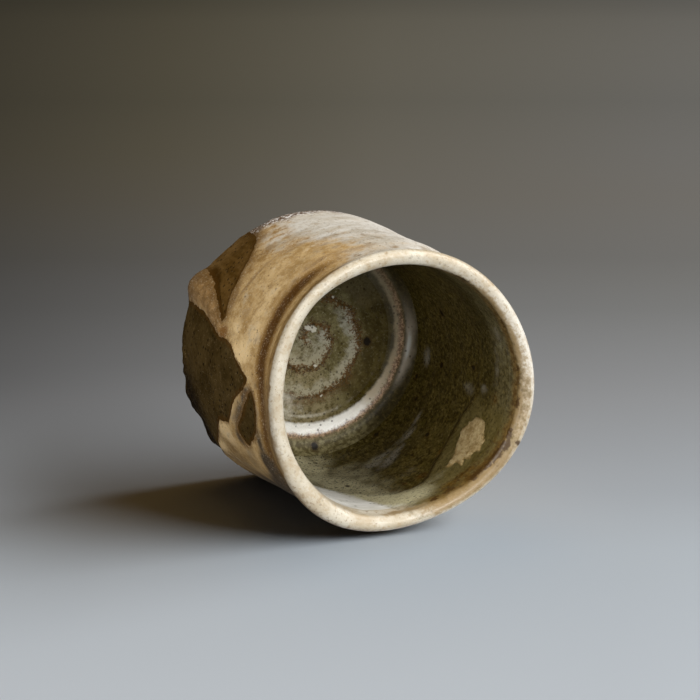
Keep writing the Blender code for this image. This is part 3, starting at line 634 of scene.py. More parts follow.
def floor_fields(phi, r, z):
    fields = inner_fields(phi, z, False)
    a = np.radians(phi)
    spot = np.full(np.broadcast(phi, r).shape, -6.0)
    for az, reach, size in FLOOR_SPOTS:
        b = math.radians(az)
        away = np.hypot(r * np.cos(a) - reach * math.cos(b), r * np.sin(a) - reach * math.sin(b))
        spot = np.maximum(spot, 1.0 - away / size)
    lump = np.full(spot.shape, -6.0)
    for az, reach, size in FLOOR_LUMPS:
        b = math.radians(az)
        away = np.hypot(r * np.cos(a) - reach * math.cos(b), r * np.sin(a) - reach * math.sin(b))
        lump = np.maximum(lump, 1.0 - away / size)
    turn = spiral_phase(phi, r)
    # Milky glaze on the near side of the spiral, none towards its top.
    milk = ease((np.abs(wrap(phi + 45.0)) - 32.0) / 34.0)
    # Painted reflection: a whitish patch against the ring, at one side.
    veil = np.exp(-(wrap(phi - 100.0) / 26.0) ** 2) * ease((r - 11.0) / 3.6) * ease((19.6 - r) / 1.4)
    veil = veil * (0.75 + 0.45 * grain(phi, r / 0.8, 20, 44))
    # Painted reflection: a thin pale arc inside the ring.
    streak = np.exp(-(wrap(phi - 128.0) / 30.0) ** 2) * np.exp(-((r - 17.6) / 0.5) ** 2)
    veil = np.maximum(veil, 0.7 * streak)
    # Painted highlight: a small glint on the foot of the wall.
    glint = np.exp(-(wrap(phi + 143.0) / 9.0) ** 2) * np.exp(-((r - 23.7) / 0.36) ** 2)
    # shade is also used below to paint the floor darker on its far side and lighter on its near side.
    shade = ease(0.5 - 0.5 * np.cos(np.radians(phi - 115.0)))      # 1 at the far side, 0 below
    # The turn is kept as a direction, which has no jump where one turn ends and the next begins.
    fields.update(turn_x=np.cos(2.0 * math.pi * turn), turn_y=np.sin(2.0 * math.pi * turn),
                  reach=r, spot=spot, far=shade, lump=lump, milk=milk, veil=veil, glint=glint)
    return fields


def make_ring():
    wall_foot = inside_wall(PHI, 9.0 + 0.0 * PHI)
    share = np.linspace(0.0, 1.0, 22)[:, None]
    r0 = FLOOR_SPLIT + share * (24.9 - FLOOR_SPLIT)
    phi = PHI[None, :] + 0.0 * r0
    z = floor_height(phi, r0 + 0.0 * phi)
    r = r0 + (wall_foot[None, :] - 24.9) * ease((r0 - 20.8) / 4.1)
    z = z + (9.0 - z) * ease((r0 - 24.5) / 0.4)
    step = np.linspace(0, len(r) - 1, 8).round().astype(int)
    return shell("pooled_glaze_ring", r, z, r[step] + 0.35 * share[step], z[step] - 0.5 + 0.3 * share[step],
                 floor_fields(phi, r, z))


def make_floor():
    reach = np.concatenate([np.linspace(0.35, 4.0, 14), np.linspace(4.3, FLOOR_SPLIT, 60)])
    phi, r = np.meshgrid(PHI, reach)
    z = floor_height(phi, r)
    under = np.linspace(FLOOR_SPLIT, 0.6, 14)[:, None] + 0.0 * PHI[None, :]
    radius = stack(r, under)
    height = stack(z, np.full(under.shape, 4.6))
    fields = {}
    for key, values in floor_fields(phi, r, z).items():
        values = np.broadcast_to(values, r.shape)
        fields[key] = stack(values, np.repeat(values[-1:], len(under), axis=0))
    return build("floor_spiral_glaze", radius, height, fields, False, ("first", "last"))


def make_patch():
    """Splash of slip near the lip, thicker towards its middle."""
    az = np.linspace(-191.0, -156.0, 110)
    zz = np.linspace(36.8, 50.0, 92)
    phi, z = np.meshgrid(az, zz)
    inside = inside_outline(phi, z, PATCH, 26.5)
    inside = inside + 0.30 * grain(phi, z / 1.1, 180, 71) + 0.18 * grain(phi, z / 0.5, 360, 72)
    lift = -0.25 + 0.45 * ease((inside + 0.5) / 1.1) + 0.08 * ease(inside / 2.5)
    base = inside_wall(phi, z)
    rows, cols = phi.shape
    keep = inside > -0.75

    def xyz(radius):
        a = np.radians(phi)
        return np.stack([radius * np.cos(a) + AXIS_X, radius * np.sin(a) + AXIS_Y, z], axis=-1).reshape(-1, 3)

    verts = np.concatenate([xyz(base - lift), xyz(base + 0.45)]) * MM
    count = rows * cols
    faces, edges = [], {}
    for j in range(rows - 1):
        for i in range(cols - 1):
            if keep[j, i] and keep[j, i + 1] and keep[j + 1, i] and keep[j + 1, i + 1]:
                q = (j * cols + i, j * cols + i + 1, (j + 1) * cols + i + 1, (j + 1) * cols + i)
                faces.append(q)
                faces.append(tuple(count + v for v in reversed(q)))
                for s in range(4):
                    e = (q[s], q[(s + 1) % 4])
                    if (e[1], e[0]) in edges:
                        del edges[(e[1], e[0])]
                    else:
                        edges[e] = True
    for p, q in edges:
        faces.append((q, p, p + count, q + count))
    used = sorted({v for f in faces for v in f})
    index = {v: n for n, v in enumerate(used)}
    mesh = bpy.data.meshes.new("splash_patch")
    mesh.from_pydata([verts[v].tolist() for v in used], [], [tuple(index[v] for v in f) for f in faces])
    both = np.concatenate([inside.reshape(-1)] * 2)[used]
    layer = mesh.attributes.new("inside", "FLOAT", "POINT")
    layer.data.foreach_set("value", np.ascontiguousarray(both, np.float32))
    return finish("splash_patch", mesh)


# ---------------------------------------------------------------- materials
class Paint:
    """Builds one node material around its Principled shader."""

    def __init__(self, name):
        self.mat = bpy.data.materials.new(name)
        self.mat.use_nodes = True
        self.tree = self.mat.node_tree
        self.bsdf = self.tree.nodes["Principled BSDF"]
        self.where = self.node("ShaderNodeTexCoord").outputs["Object"]

    def node(self, kind, **props):
        n = self.tree.nodes.new(kind)
        for key, value in props.items():
            setattr(n, key, value)
        return n

    def put(self, socket, value):
        if isinstance(value, bpy.types.NodeSocket):
            self.tree.links.new(value, socket)
        elif isinstance(value, (tuple, list)) and len(value) == 3 and socket.type == "RGBA":
            socket.default_value = (*value, 1.0)
        else:
            socket.default_value = value

    def attr(self, name):
        return self.node("ShaderNodeAttribute", attribute_name=name).outputs["Fac"]

    def math(self, op, a, b=0.0, clamp=False):
        n = self.node("ShaderNodeMath", operation=op, use_clamp=clamp)
        self.put(n.inputs[0], a)
        self.put(n.inputs[1], b)
        return n.outputs[0]

    def add(self, a, b):
        return self.math("ADD", a, b)

    def mul(self, a, b):
        return self.math("MULTIPLY", a, b)

    def place(self, stretch, shift=(0.0, 0.0, 0.0)):
        """Object coordinates in lumps per mm along X, Y and Z."""
        n = self.node("ShaderNodeMapping")
        self.put(n.inputs["Vector"], self.where)
        n.inputs["Scale"].default_value = tuple(1000.0 * s for s in stretch)
        n.inputs["Location"].default_value = shift
        return n.outputs[0]

    def noise(self, stretch, detail=3.0, rough=0.55, shift=(0.0, 0.0, 0.0), twist=0.0):
        if not isinstance(stretch, tuple):
            stretch = (stretch, stretch, stretch)
        n = self.node("ShaderNodeTexNoise")
        self.put(n.inputs["Vector"], self.place(stretch, shift))
        n.inputs["Scale"].default_value = 1.0
        n.inputs["Detail"].default_value = detail
        n.inputs["Roughness"].default_value = rough
        n.inputs["Distortion"].default_value = twist
        return n.outputs[0]

    def cells(self, stretch, shift=(0.0, 0.0, 0.0)):
        """Distance to the nearest of scattered points, and a number for that point."""
        if not isinstance(stretch, tuple):
            stretch = (stretch, stretch, stretch)
        n = self.node("ShaderNodeTexVoronoi")
        self.put(n.inputs["Vector"], self.place(stretch, shift))
        n.inputs["Scale"].default_value = 1.0
        split = self.node("ShaderNodeSeparateColor")
        self.put(split.inputs[0], n.outputs["Color"])
        return n.outputs["Distance"], split.outputs[0]

    def fade(self, x, start, stop, low=0.0, high=1.0):
        n = self.node("ShaderNodeMapRange", interpolation_type="SMOOTHSTEP")
        for i, value in enumerate((x, start, stop, low, high)):
            self.put(n.inputs[i], value)
        return n.outputs[0]

    def bell(self, x, middle, width):
        """1 where x is middle, falling to 0 a width away on both sides."""
        return self.fade(self.math("ABSOLUTE", self.math("SUBTRACT", x, middle)), 0.0, width, 1.0, 0.0)

    def mix(self, share, a, b, blend="MIX"):
        n = self.node("ShaderNodeMix", data_type="RGBA", blend_type=blend)
        self.put(n.inputs[0], share)
        self.put(n.inputs[6], a)
        self.put(n.inputs[7], b)
        return n.outputs[2]

    def bump(self, height, distance, under=None):
        n = self.node("ShaderNodeBump")
        n.inputs["Strength"].default_value = 1.0
        n.inputs["Distance"].default_value = distance * MM
        self.put(n.inputs["Height"], height)
        if under is not None:
            self.put(n.inputs["Normal"], under)
        return n.outputs[0]

    def done(self, colour, rough, normal, coat=0.0, coat_rough=0.1, level=0.5):
        b = self.bsdf.inputs
        self.put(b["Base Color"], colour)
        self.put(b["Roughness"], rough)
        self.put(b["Normal"], normal)
        b["Coat Weight"].default_value = coat
        b["Coat Roughness"].default_value = coat_rough
        b["Specular IOR Level"].default_value = level
        return self.mat


def clay_material():
    p = Paint("shaved_stoneware")
    broad = p.noise(0.16, 4.0, 0.6)
    fine = p.noise(1.1, 5.0, 0.68)
    drag = p.noise((0.45, 0.45, 0.12), 5.0, 0.62, (3.0, 1.0, 7.0))
    light, harsh = p.attr("light"), p.attr("harsh")
    colour = p.mix(p.fade(broad, 0.36, 0.64), (0.032, 0.0190, 0.0042), (0.058, 0.0365, 0.0115))
    low = p.fade(p.attr("rise"), 13.0, 1.0)
    brown = p.mix(p.fade(drag, 0.34, 0.66), (0.066, 0.033, 0.0055), (0.108, 0.057, 0.0140))
    brown = p.mix(p.mul(low, 0.75), brown, p.mix(p.fade(drag, 0.36, 0.64), (0.090, 0.048, 0.013), (0.150, 0.086, 0.028)))
    colour = p.mix(light, colour, brown)
    # Painted shade in the crease along the foot of the rib.
    colour = p.mix(p.fade(p.attr("fold"), 0.1, 0.9, 0.0, 0.85), colour, (0.040, 0.017, 0.0015))
    # Fine grain, dark pits and pale sand.
    colour = p.mix(p.fade(fine, 0.54, 0.70, 0.0, 0.5), colour, (0.022, 0.012, 0.002))
    colour = p.mix(p.fade(fine, 0.44, 0.32, 0.0, 0.35), colour, (0.150, 0.098, 0.042))
    colour = p.mix(p.mul(harsh, p.fade(fine, 0.38, 0.54, 0.60, 1.0)), colour, (0.009, 0.005, 0.002))
    pit, which = p.cells(1.0)
    dark = p.mul(p.fade(pit, 0.20, 0.40, 1.0, 0.0), p.fade(which, p.fade(harsh, 0.0, 1.0, 0.66, 0.30), 0.72))
    colour = p.mix(p.mul(dark, 0.85), colour, (0.010, 0.005, 0.001))
    grit, one = p.cells(2.2, (9.0, 4.0, 2.0))
    sand = p.mul(p.fade(grit, 0.14, 0.28, 1.0, 0.0), p.fade(one, p.fade(harsh, 0.0, 1.0, 0.88, 0.74), 0.92))
    colour = p.mix(p.mul(sand, 0.6), colour, (0.30, 0.225, 0.14))
    # A rusty line where the slip ends.
    edge = p.bell(p.add(p.attr("coated"), p.mul(p.math("SUBTRACT", fine, 0.5), 1.6)), -0.1, 1.0)
    colour = p.mix(p.mul(edge, 0.6), colour, (0.060, 0.026, 0.004))
    rough = p.fade(fine, 0.3, 0.75, 0.6, 0.9)
    height = p.add(p.mul(fine, 0.8), p.add(p.mul(drag, 0.4), p.add(p.mul(dark, -0.7), p.mul(sand, 0.5))))
    return p.done(colour, rough, p.bump(height, 0.16), level=0.03)


def slip_material():
    p = Paint("cream_slip")
    coated = p.attr("coated")
    streak = p.noise((0.06, 0.06, 0.34), 5.0, 0.62)
    cloud = p.noise((0.17, 0.17, 0.24), 5.0, 0.62, (2.0, 5.0, 1.0))
    soft = p.noise(0.42, 5.0, 0.66, (7.0, 2.0, 4.0))
    fine = p.noise(1.3, 4.0, 0.68)
    dust = p.noise(2.6, 3.0, 0.6, (1.0, 9.0, 3.0))
    upper = p.fade(p.add(p.attr("rise"), p.mul(p.math("SUBTRACT", soft, 0.5), 5.0)), 25.0, 30.0)

    def shaken(name, much):
        """A painted share with a cloudy edge."""
        both = p.add(p.mul(p.math("SUBTRACT", cloud, 0.5), much), p.mul(p.math("SUBTRACT", soft, 0.5), much))
        return p.math("ADD", p.attr(name), both, True)

    low_gold = p.mix(p.fade(soft, 0.36, 0.62), (0.245, 0.142, 0.045), (0.425, 0.285, 0.125))
    high_gold = p.mix(p.fade(soft, 0.36, 0.62), (0.330, 0.205, 0.075), (0.490, 0.335, 0.155))
    colour = p.mix(upper, low_gold, high_gold)
    colour = p.mix(p.fade(shaken("cream", 0.9), 0.20, 0.95), colour, (0.66, 0.480, 0.250))
    white = p.mix(p.fade(streak, 0.34, 0.66), (0.385, 0.345, 0.280), (0.530, 0.505, 0.455))
    white = p.mix(p.fade(soft, 0.50, 0.68, 0.0, 0.7), white, (0.295, 0.230, 0.150))
    white = p.mix(p.fade(p.attr("rise"), 28.0, 8.0, 0.0, 0.4), white, (0.600, 0.560, 0.490))
    white = p.mix(p.mul(p.attr("white"), p.fade(soft, 0.35, 0.6, 0.8, 0.3)), white, (0.640, 0.620, 0.580))
    colour = p.mix(p.fade(shaken("pale", 1.7), 0.05, 0.95), colour, white)
    colour = p.mix(p.fade(shaken("cloud", 1.2), 0.25, 1.0, 0.0, 0.9), colour,
                   p.mix(p.attr("pale"), (0.225, 0.138, 0.058), (0.265, 0.200, 0.125)))
    # Iron shows through on the rib, in the groove and along the slip's edges; the groove's dark brown is partly painted
    # shade under the lip.
    bead = p.mix(p.fade(soft, 0.36, 0.64), (0.135, 0.072, 0.021), (0.270, 0.158, 0.060))
    bead = p.mix(p.fade(p.attr("rise"), 11.0, 2.0, 0.0, 0.7), bead, (0.078, 0.040, 0.013))
    colour = p.mix(p.fade(p.attr("rib"), 0.15, 0.80, 0.0, 0.95), colour, bead)
    colour = p.mix(p.fade(shaken("head", 0.5), 0.2, 0.8, 0.0, 0.9), colour, (0.165, 0.072, 0.013))
    ditch = p.math("ADD", p.attr("groove"), p.mul(p.math("SUBTRACT", soft, 0.5), 0.6), True)
    colour = p.mix(p.fade(ditch, 0.02, 0.42), colour, (0.185, 0.100, 0.026))
    colour = p.mix(p.fade(ditch, 0.36, 0.85), colour, (0.070, 0.028, 0.002))
    # Painted shade: dark blots on the side towards the floor and under the lip.
    colour = p.mix(p.fade(shaken("dusk", 0.7), 0.15, 0.95), colour, (0.056, 0.038, 0.021))
    margin = p.add(coated, p.add(p.mul(p.math("SUBTRACT", fine, 0.5), 2.0), p.mul(p.math("SUBTRACT", soft, 0.5), 3.0)))
    colour = p.mix(p.fade(margin, 0.1, p.attr("hem"), 0.85, 0.0), colour, (0.125, 0.064, 0.016))
    # The strip between groove and lip is thin and brown, except on the pale side.
    strip = p.mul(p.fade(p.attr("rise"), 47.0, 49.0), p.mul(p.fade(p.attr("pale"), 0.2, 0.8, 0.35, 0.0), p.fade(p.attr("dusk"), 0.2, 0.8, 1.0, 0.0)))
    colour = p.mix(strip, colour, p.mix(p.fade(soft, 0.38, 0.62), (0.180, 0.100, 0.028), (0.320, 0.205, 0.080)))
    # Grain: iron dust showing through, and pale ash lying on top.
    colour = p.mix(p.fade(fine, 0.54, 0.68, 0.0, 0.50), colour, (0.175, 0.102, 0.038))
    colour = p.mix(p.fade(dust, 0.44, 0.33, 0.0, 0.32), colour, (0.64, 0.56, 0.42))
    pit, which = p.cells(0.9)
    speck = p.mul(p.fade(pit, 0.10, 0.24, 1.0, 0.0), p.fade(which, 0.76, 0.80))
    colour = p.mix(p.mul(speck, 0.6), colour, (0.065, 0.034, 0.009))
    # Sandy foot: coarse brown and white grains, the white grains partly painted sparkle.
    frost = p.attr("frost")
    sand = p.mix(p.fade(fine, 0.40, 0.50), (0.68, 0.65, 0.62), (0.100, 0.052, 0.022))
    colour = p.mix(p.mul(frost, p.fade(dust, 0.36, 0.50, 0.55, 1.0)), colour, sand)
    rough = p.fade(soft, 0.35, 0.7, 0.62, 0.48)
    height = p.add(p.add(p.mul(soft, 0.45), p.mul(streak, 0.2)), p.add(p.mul(fine, p.fade(frost, 0.0, 1.0, 0.5, 1.6)),
                                                                      p.mul(speck, -0.4)))
    return p.done(colour, rough, p.bump(height, 0.22), level=0.25)


def inner_colour(p):
    """Ash glaze from the ivory lip down into the cup."""
    band = p.attr("band")
    streak = p.noise((0.14, 0.14, 0.34), 4.0, 0.6)
    blot = p.noise(0.36, 5.0, 0.66, (3.0, 3.0, 9.0))
    fine = p.noise(1.5, 4.0, 0.70)
    sandy = p.noise(0.80, 5.0, 0.68, (8.0, 1.0, 2.0))

    def shaken(name, much):
        return p.add(p.attr(name), p.add(p.mul(p.math("SUBTRACT", blot, 0.5), much),
                                         p.mul(p.math("SUBTRACT", fine, 0.5), 1.1 * much)))

    colour = p.mix(p.fade(sandy, 0.42, 0.60), (0.082, 0.059, 0.0125), (0.034, 0.022, 0.0022))
    colour = p.mix(p.fade(blot, 0.54, 0.70, 0.0, 0.7), colour, (0.105, 0.082, 0.025))
    colour = p.mix(p.fade(blot, 0.44, 0.32, 0.0, 0.5), colour, (0.048, 0.038, 0.0045))
    colour = p.mix(p.fade(p.attr("rise"), 18.0, 8.0, 0.0, 0.35), colour, (0.036, 0.030, 0.003))
    # Smoother, lighter glaze on the thickened band under the lip.
    on_band = p.fade(p.add(band, p.mul(p.math("SUBTRACT", blot, 0.5), 3.0)), -0.4, 1.6)
    lit = p.mix(p.fade(p.add(p.mul(streak, 0.6), p.mul(sandy, 0.4)), 0.38, 0.62), (0.070, 0.052, 0.013), (0.125, 0.098, 0.036))
    low = p.mix(p.fade(sandy, 0.4, 0.6), (0.046, 0.034, 0.007), (0.022, 0.015, 0.0015))
    high = p.mix(p.fade(sandy, 0.4, 0.6), (0.100, 0.083, 0.038), (0.052, 0.040, 0.014))
    lit = p.mix(p.fade(p.attr("share"), 0.3, 0.9), p.mix(p.fade(p.attr("rise"), 42.0, 47.0), low, high), lit)
    colour = p.mix(p.mul(on_band, 0.85), colour, lit)
    # Painted shadow: a dark line just under the edge of the thickened band.
    seam = p.mul(p.bell(p.add(band, p.mul(p.math("SUBTRACT", fine, 0.5), 1.4)), -0.6, 1.7), p.attr("share"))
    colour = p.mix(p.mul(seam, 0.85), colour, (0.026, 0.014, 0.001))
    # Pale greenish glaze low inside on one side, partly painted light.
    colour = p.mix(p.fade(shaken("faded", 0.8), 0.15, 0.95, 0.0, 0.92), colour, (0.420, 0.385, 0.240))
    # Painted sheen: pale blots and streaks on the inner glaze.
    colour = p.mix(p.fade(shaken("mist", 0.9), 0.25, 1.0, 0.0, 0.9), colour, (0.225, 0.205, 0.165))
    # Grains: dark iron and pale ash.
    grains = p.fade(on_band, 0.0, 1.0, 0.9, 0.55)
    colour = p.mix(p.mul(p.fade(fine, 0.52, 0.62), grains), colour, (0.017, 0.010, 0.001))
    colour = p.mix(p.mul(p.fade(fine, 0.45, 0.34), p.mul(grains, 0.7)), colour, (0.190, 0.142, 0.050))
    rust = p.fade(shaken("amber", 1.2), 0.30, 0.95, 0.0, 0.85)
    colour = p.mix(rust, colour, p.mix(p.fade(sandy, 0.40, 0.60), (0.095, 0.048, 0.005), (0.040, 0.017, 0.001)))
    return dict(colour=colour, streak=streak, blot=blot, fine=fine, sandy=sandy, rust=rust)


def ivory_inside(p, k, colour, ivory):
    """Lay the lip's ivory over the inner glaze, with a rusty ragged margin."""
    share = p.add(p.attr("ivory"), p.add(p.mul(p.math("SUBTRACT", k["blot"], 0.5), 3.6),
                                         p.mul(p.math("SUBTRACT", k["fine"], 0.5), 2.6)))
    margin = p.mix(p.fade(k["sandy"], 0.4, 0.6), (0.175, 0.105, 0.030), (0.075, 0.034, 0.005))
    margin = p.mix(k["rust"], margin, (0.062, 0.028, 0.002))
    colour = p.mix(p.mul(p.bell(share, -1.3, 2.2), p.mul(p.attr("rusty"), 0.75)), colour, margin)
    gold = p.mul(p.fade(share, 0.2, 1.5, 0.75, 0.0), p.attr("rusty"))
    return p.mix(p.fade(share, -0.9, 1.4), colour, p.mix(gold, ivory, (0.350, 0.240, 0.112)))


def inner_finish(p, k, colour, rough=(0.34, 0.52), bump=0.14, coat=0.0, level=0.10, specks=0.7):
    spot = p.fade(p.add(p.attr("spot"), p.mul(p.math("SUBTRACT", k["fine"], 0.5), 1.2)), -0.30, 0.20)
    halo = p.fade(p.attr("spot"), -1.0, 0.0)
    colour = p.mix(p.mul(halo, 0.6), colour, (0.050, 0.024, 0.003))
    colour = p.mix(p.mul(spot, 0.97), colour, (0.007, 0.004, 0.0005))
    pit, which = p.cells(0.85, (5.0, 2.0, 8.0))
    speck = p.mul(p.fade(pit, 0.12, 0.32, 1.0, 0.0), p.fade(which, 0.66, 0.70))
    colour = p.mix(p.mul(speck, specks), colour, (0.022, 0.011, 0.001))
    height = p.add(p.mul(k["fine"], 0.6), p.add(p.mul(k["blot"], 0.5), p.mul(speck, -0.35)))
    r = rough if isinstance(rough, bpy.types.NodeSocket) else p.fade(k["fine"], 0.3, 0.7, *rough)
    return p.done(colour, r, p.bump(height, bump), coat=coat, coat_rough=0.10, level=level)


def wall_material():
    p = Paint("ash_glaze_inside")
    k = inner_colour(p)
    white = p.mix(p.fade(k["streak"], 0.35, 0.65), (0.50, 0.485, 0.435), (0.66, 0.65, 0.61))
    return inner_finish(p, k, ivory_inside(p, k, k["colour"], white))


def lip_material():
    p = Paint("ivory_lip_glaze")
    k = inner_colour(p)
    ivory = p.mix(p.fade(k["streak"], 0.34, 0.66), (0.390, 0.330, 0.235), (0.500, 0.458, 0.372))
    # Painted highlight: whiter ivory round azimuth -122.
    ivory = p.mix(p.attr("glow"), ivory, (0.585, 0.560, 0.500))
    ivory = p.mix(p.fade(k["blot"], 0.50, 0.66, 0.0, 0.55), ivory, (0.330, 0.250, 0.150))
    ivory = p.mix(p.fade(k["sandy"], 0.52, 0.68, 0.0, 0.5), ivory, (0.290, 0.195, 0.090))
    rust = p.mul(p.fade(k["fine"], 0.57, 0.67), p.fade(k["blot"], 0.58, 0.42))
    ivory = p.mix(p.mul(rust, 0.75), ivory, (0.125, 0.060, 0.016))
    colour = ivory_inside(p, k, k["colour"], ivory)
    stain = p.add(p.attr("stain"), p.add(p.mul(p.math("SUBTRACT", k["blot"], 0.5), 1.4), p.mul(p.math("SUBTRACT", k["sandy"], 0.5), 1.2)))
    colour = p.mix(p.fade(stain, 0.25, 0.95, 0.0, 0.8), colour, (0.215, 0.145, 0.062))
    notch = p.add(p.attr("notch"), p.add(p.mul(p.math("SUBTRACT", k["fine"], 0.5), 1.6), p.mul(p.math("SUBTRACT", k["sandy"], 0.5), 1.2)))
    colour = p.mix(p.fade(notch, 0.35, 0.75, 0.0, 0.9), colour, (0.046, 0.021, 0.003))
    # Outside, the ivory thins to brown towards the groove under the roll.
    outer = p.add(p.math("MULTIPLY", p.attr("along"), -1.0), p.add(p.mul(p.math("SUBTRACT", k["blot"], 0.5), 2.0),
                                                                   p.mul(p.math("SUBTRACT", k["fine"], 0.5), 2.0)))
    tan = p.mix(p.fade(k["sandy"], 0.40, 0.62), (0.320, 0.200, 0.075), (0.190, 0.104, 0.030))
    outer = p.add(outer, p.mul(p.attr("bare"), 0.5))
    colour = p.mix(p.fade(outer, 2.1, 3.8), colour, p.mix(p.attr("pale"), tan, p.mix(p.fade(outer, 3.0, 5.0), (0.430, 0.385, 0.305), (0.560, 0.525, 0.455))))
    # The groove's dark brown, partly iron and partly painted shade under the lip.
    colour = p.mix(p.fade(p.attr("groove"), 0.05, 0.45), colour, (0.160, 0.085, 0.020))
    colour = p.mix(p.mul(p.attr("under"), p.fade(outer, 0.9, 2.2)), colour, (0.090, 0.045, 0.011))
    return inner_finish(p, k, colour, rough=(0.34, 0.5), bump=0.14, coat=0.12, level=0.35, specks=0.2)


def floor_material(name, level):
    p = Paint(name)
    k = inner_colour(p)
    reach, far = p.attr("reach"), p.attr("far")
    u = p.math("FRACT", p.mul(p.math("ARCTAN2", p.attr("turn_y"), p.attr("turn_x")), 0.5 / math.pi), 0.0)
    milk_noise = p.noise(0.55, 4.0, 0.65, (1.0, 6.0, 2.0))
    dust = p.noise(1.9, 3.0, 0.65, (4.0, 4.0, 1.0))
    olive = p.mix(p.fade(k["blot"], 0.38, 0.64), (0.090, 0.072, 0.020), (0.180, 0.155, 0.070))
    dim = p.mix(p.fade(k["blot"], 0.38, 0.64), (0.044, 0.031, 0.004), (0.088, 0.066, 0.017))
    outside = p.fade(reach, 12.4, 13.8)
    # Painted shade and light: outside the spiral the floor is darker on the far side and lighter on the near side.
    colour = p.mix(p.mul(outside, p.fade(far, 0.02, 0.16, 0.15, 1.0)), olive, dim)
    colour = p.mix(p.fade(far, 0.09, 0.0, 0.0, 0.55), colour, p.mix(p.fade(k["sandy"], 0.40, 0.60), (0.330, 0.270, 0.150), (0.150, 0.115, 0.048)))
    colour = p.mix(p.mul(outside, p.fade(far, 0.90, 1.0, 0.0, 0.45)), colour, (0.165, 0.135, 0.068))
    inward = p.fade(reach, 13.2, 14.4, 1.0, 0.0)
    # Milky glaze on the spiral's rise and on the boss.
    torn = p.add(p.mul(p.math("SUBTRACT", k["fine"], 0.5), 0.75), p.mul(p.math("SUBTRACT", dust, 0.5), 0.70))
    ragged = p.math("FRACT", p.add(u, torn), 0.0)
    milk = p.fade(p.add(u, p.mul(p.math("SUBTRACT", milk_noise, 0.5), 0.7)), 0.38, 0.66)
    milk = p.mul(milk, p.fade(ragged, 0.24, 0.36))
    milk = p.mul(p.mul(milk, inward), p.mul(p.attr("milk"), p.fade(milk_noise, 0.30, 0.55, 0.55, 0.95)))
    colour = p.mix(milk, colour, p.mix(far, (0.345, 0.312, 0.208), (0.335, 0.328, 0.266)))
    boss = p.fade(p.add(reach, p.mul(p.math("SUBTRACT", milk_noise, 0.5), 5.0)), 2.6, 5.4, 1.0, 0.0)
    boss = p.mul(boss, p.fade(far, 0.35, 0.65, 1.0, 0.45))
    colour = p.mix(p.mul(boss, p.fade(k["sandy"], 0.36, 0.58, 0.95, 0.30)), colour, (0.320, 0.300, 0.215))
    # Serrated rusty edge of the spiral.
    brown = p.mul(p.math("MAXIMUM", p.fade(ragged, 0.72, 0.88), p.fade(ragged, 0.00, 0.10, 1.0, 0.0)), inward)
    teeth = p.mul(p.fade(ragged, 0.0, 0.36, 1.0, 0.0), p.mul(p.fade(far, 0.40, 0.02), p.fade(reach, 15.0, 17.0, 1.0, 0.0)))
    teeth = p.mul(p.mul(teeth, p.fade(reach, 11.0, 12.5)), p.fade(dust, 0.38, 0.54, 0.35, 0.9))
    brown = p.math("MAXIMUM", brown, teeth)
    colour = p.mix(p.mul(brown, p.fade(k["sandy"], 0.34, 0.52, 0.75, 1.0)), colour,
                   p.mix(p.fade(dust, 0.42, 0.56), (0.036, 0.016, 0.003), (0.135, 0.066, 0.018)))
    # Grain all over.
    colour = p.mix(p.fade(k["sandy"], 0.54, 0.66, 0.0, 0.65), colour, (0.052, 0.036, 0.006))
    colour = p.mix(p.fade(dust, 0.56, 0.68, 0.0, 0.65), colour, (0.046, 0.025, 0.004))
    colour = p.mix(p.mul(p.fade(dust, 0.44, 0.33, 0.0, 0.45), p.fade(outside, 0.0, 1.0, 1.0, 0.35)), colour, (0.340, 0.310, 0.205))
    # Painted reflection: a whitish patch and a thin pale arc inside the ring.
    veil = p.fade(p.add(p.attr("veil"), p.add(p.mul(p.math("SUBTRACT", milk_noise, 0.5), 0.9),
                                              p.mul(p.math("SUBTRACT", dust, 0.5), 0.9))), 0.10, 0.95, 0.0, 0.90)
    colour = p.mix(veil, colour, (0.520, 0.485, 0.385))
    # Pooled ring: pale on its slope, whitened on the near side as a painted highlight, narrower on the far side, with a
    # rusty line along its crest.
    inner_edge = p.fade(far, 0.0, 0.7, 18.8, 20.0)
    pool = p.mul(p.fade(p.math("SUBTRACT", p.add(reach, p.mul(p.math("SUBTRACT", k["blot"], 0.5), 1.6)), inner_edge), 0.0, 0.9),
                 p.fade(p.add(reach, p.add(p.mul(p.math("SUBTRACT", k["fine"], 0.5), 2.2), p.mul(p.math("SUBTRACT", dust, 0.5), 1.6))),
                        p.fade(far, 0.0, 0.35, 21.4, 21.2), p.fade(far, 0.0, 0.35, 22.2, 21.8), 1.0, 0.0))
    colour = p.mix(p.mul(pool, p.fade(far, 0.1, 0.98, 0.9, 0.6)), colour, p.mix(p.fade(far, 0.03, 0.24), (0.800, 0.780, 0.705), (0.385, 0.305, 0.180)))
    crest = p.bell(p.add(reach, p.mul(p.math("SUBTRACT", k["sandy"], 0.5), 2.2)), 22.0, 1.0)
    colour = p.mix(p.mul(crest, p.fade(far, 0.75, 1.0, 0.9, 0.55)), colour,
                   p.mix(p.fade(dust, 0.42, 0.58), (0.130, 0.062, 0.020), (0.430, 0.275, 0.155)))
    # Beyond the crest, on the far side, a second thin greyish line.
    second = p.mul(p.bell(p.add(reach, p.mul(p.math("SUBTRACT", k["blot"], 0.5), 1.0)), 23.7, 1.2), p.mul(p.fade(far, 0.30, 0.50), p.fade(far, 0.98, 0.72)))
    foot = p.fade(reach, 22.4, 23.6)
    wall = p.mix(p.fade(far, 0.0, 0.17), p.mix(p.fade(k["sandy"], 0.36, 0.60), (0.235, 0.205, 0.098), (0.080, 0.060, 0.016)),
                 k["colour"])
    colour = p.mix(foot, colour, wall)
    colour = p.mix(p.mul(second, 0.9), colour, (0.330, 0.286, 0.222))
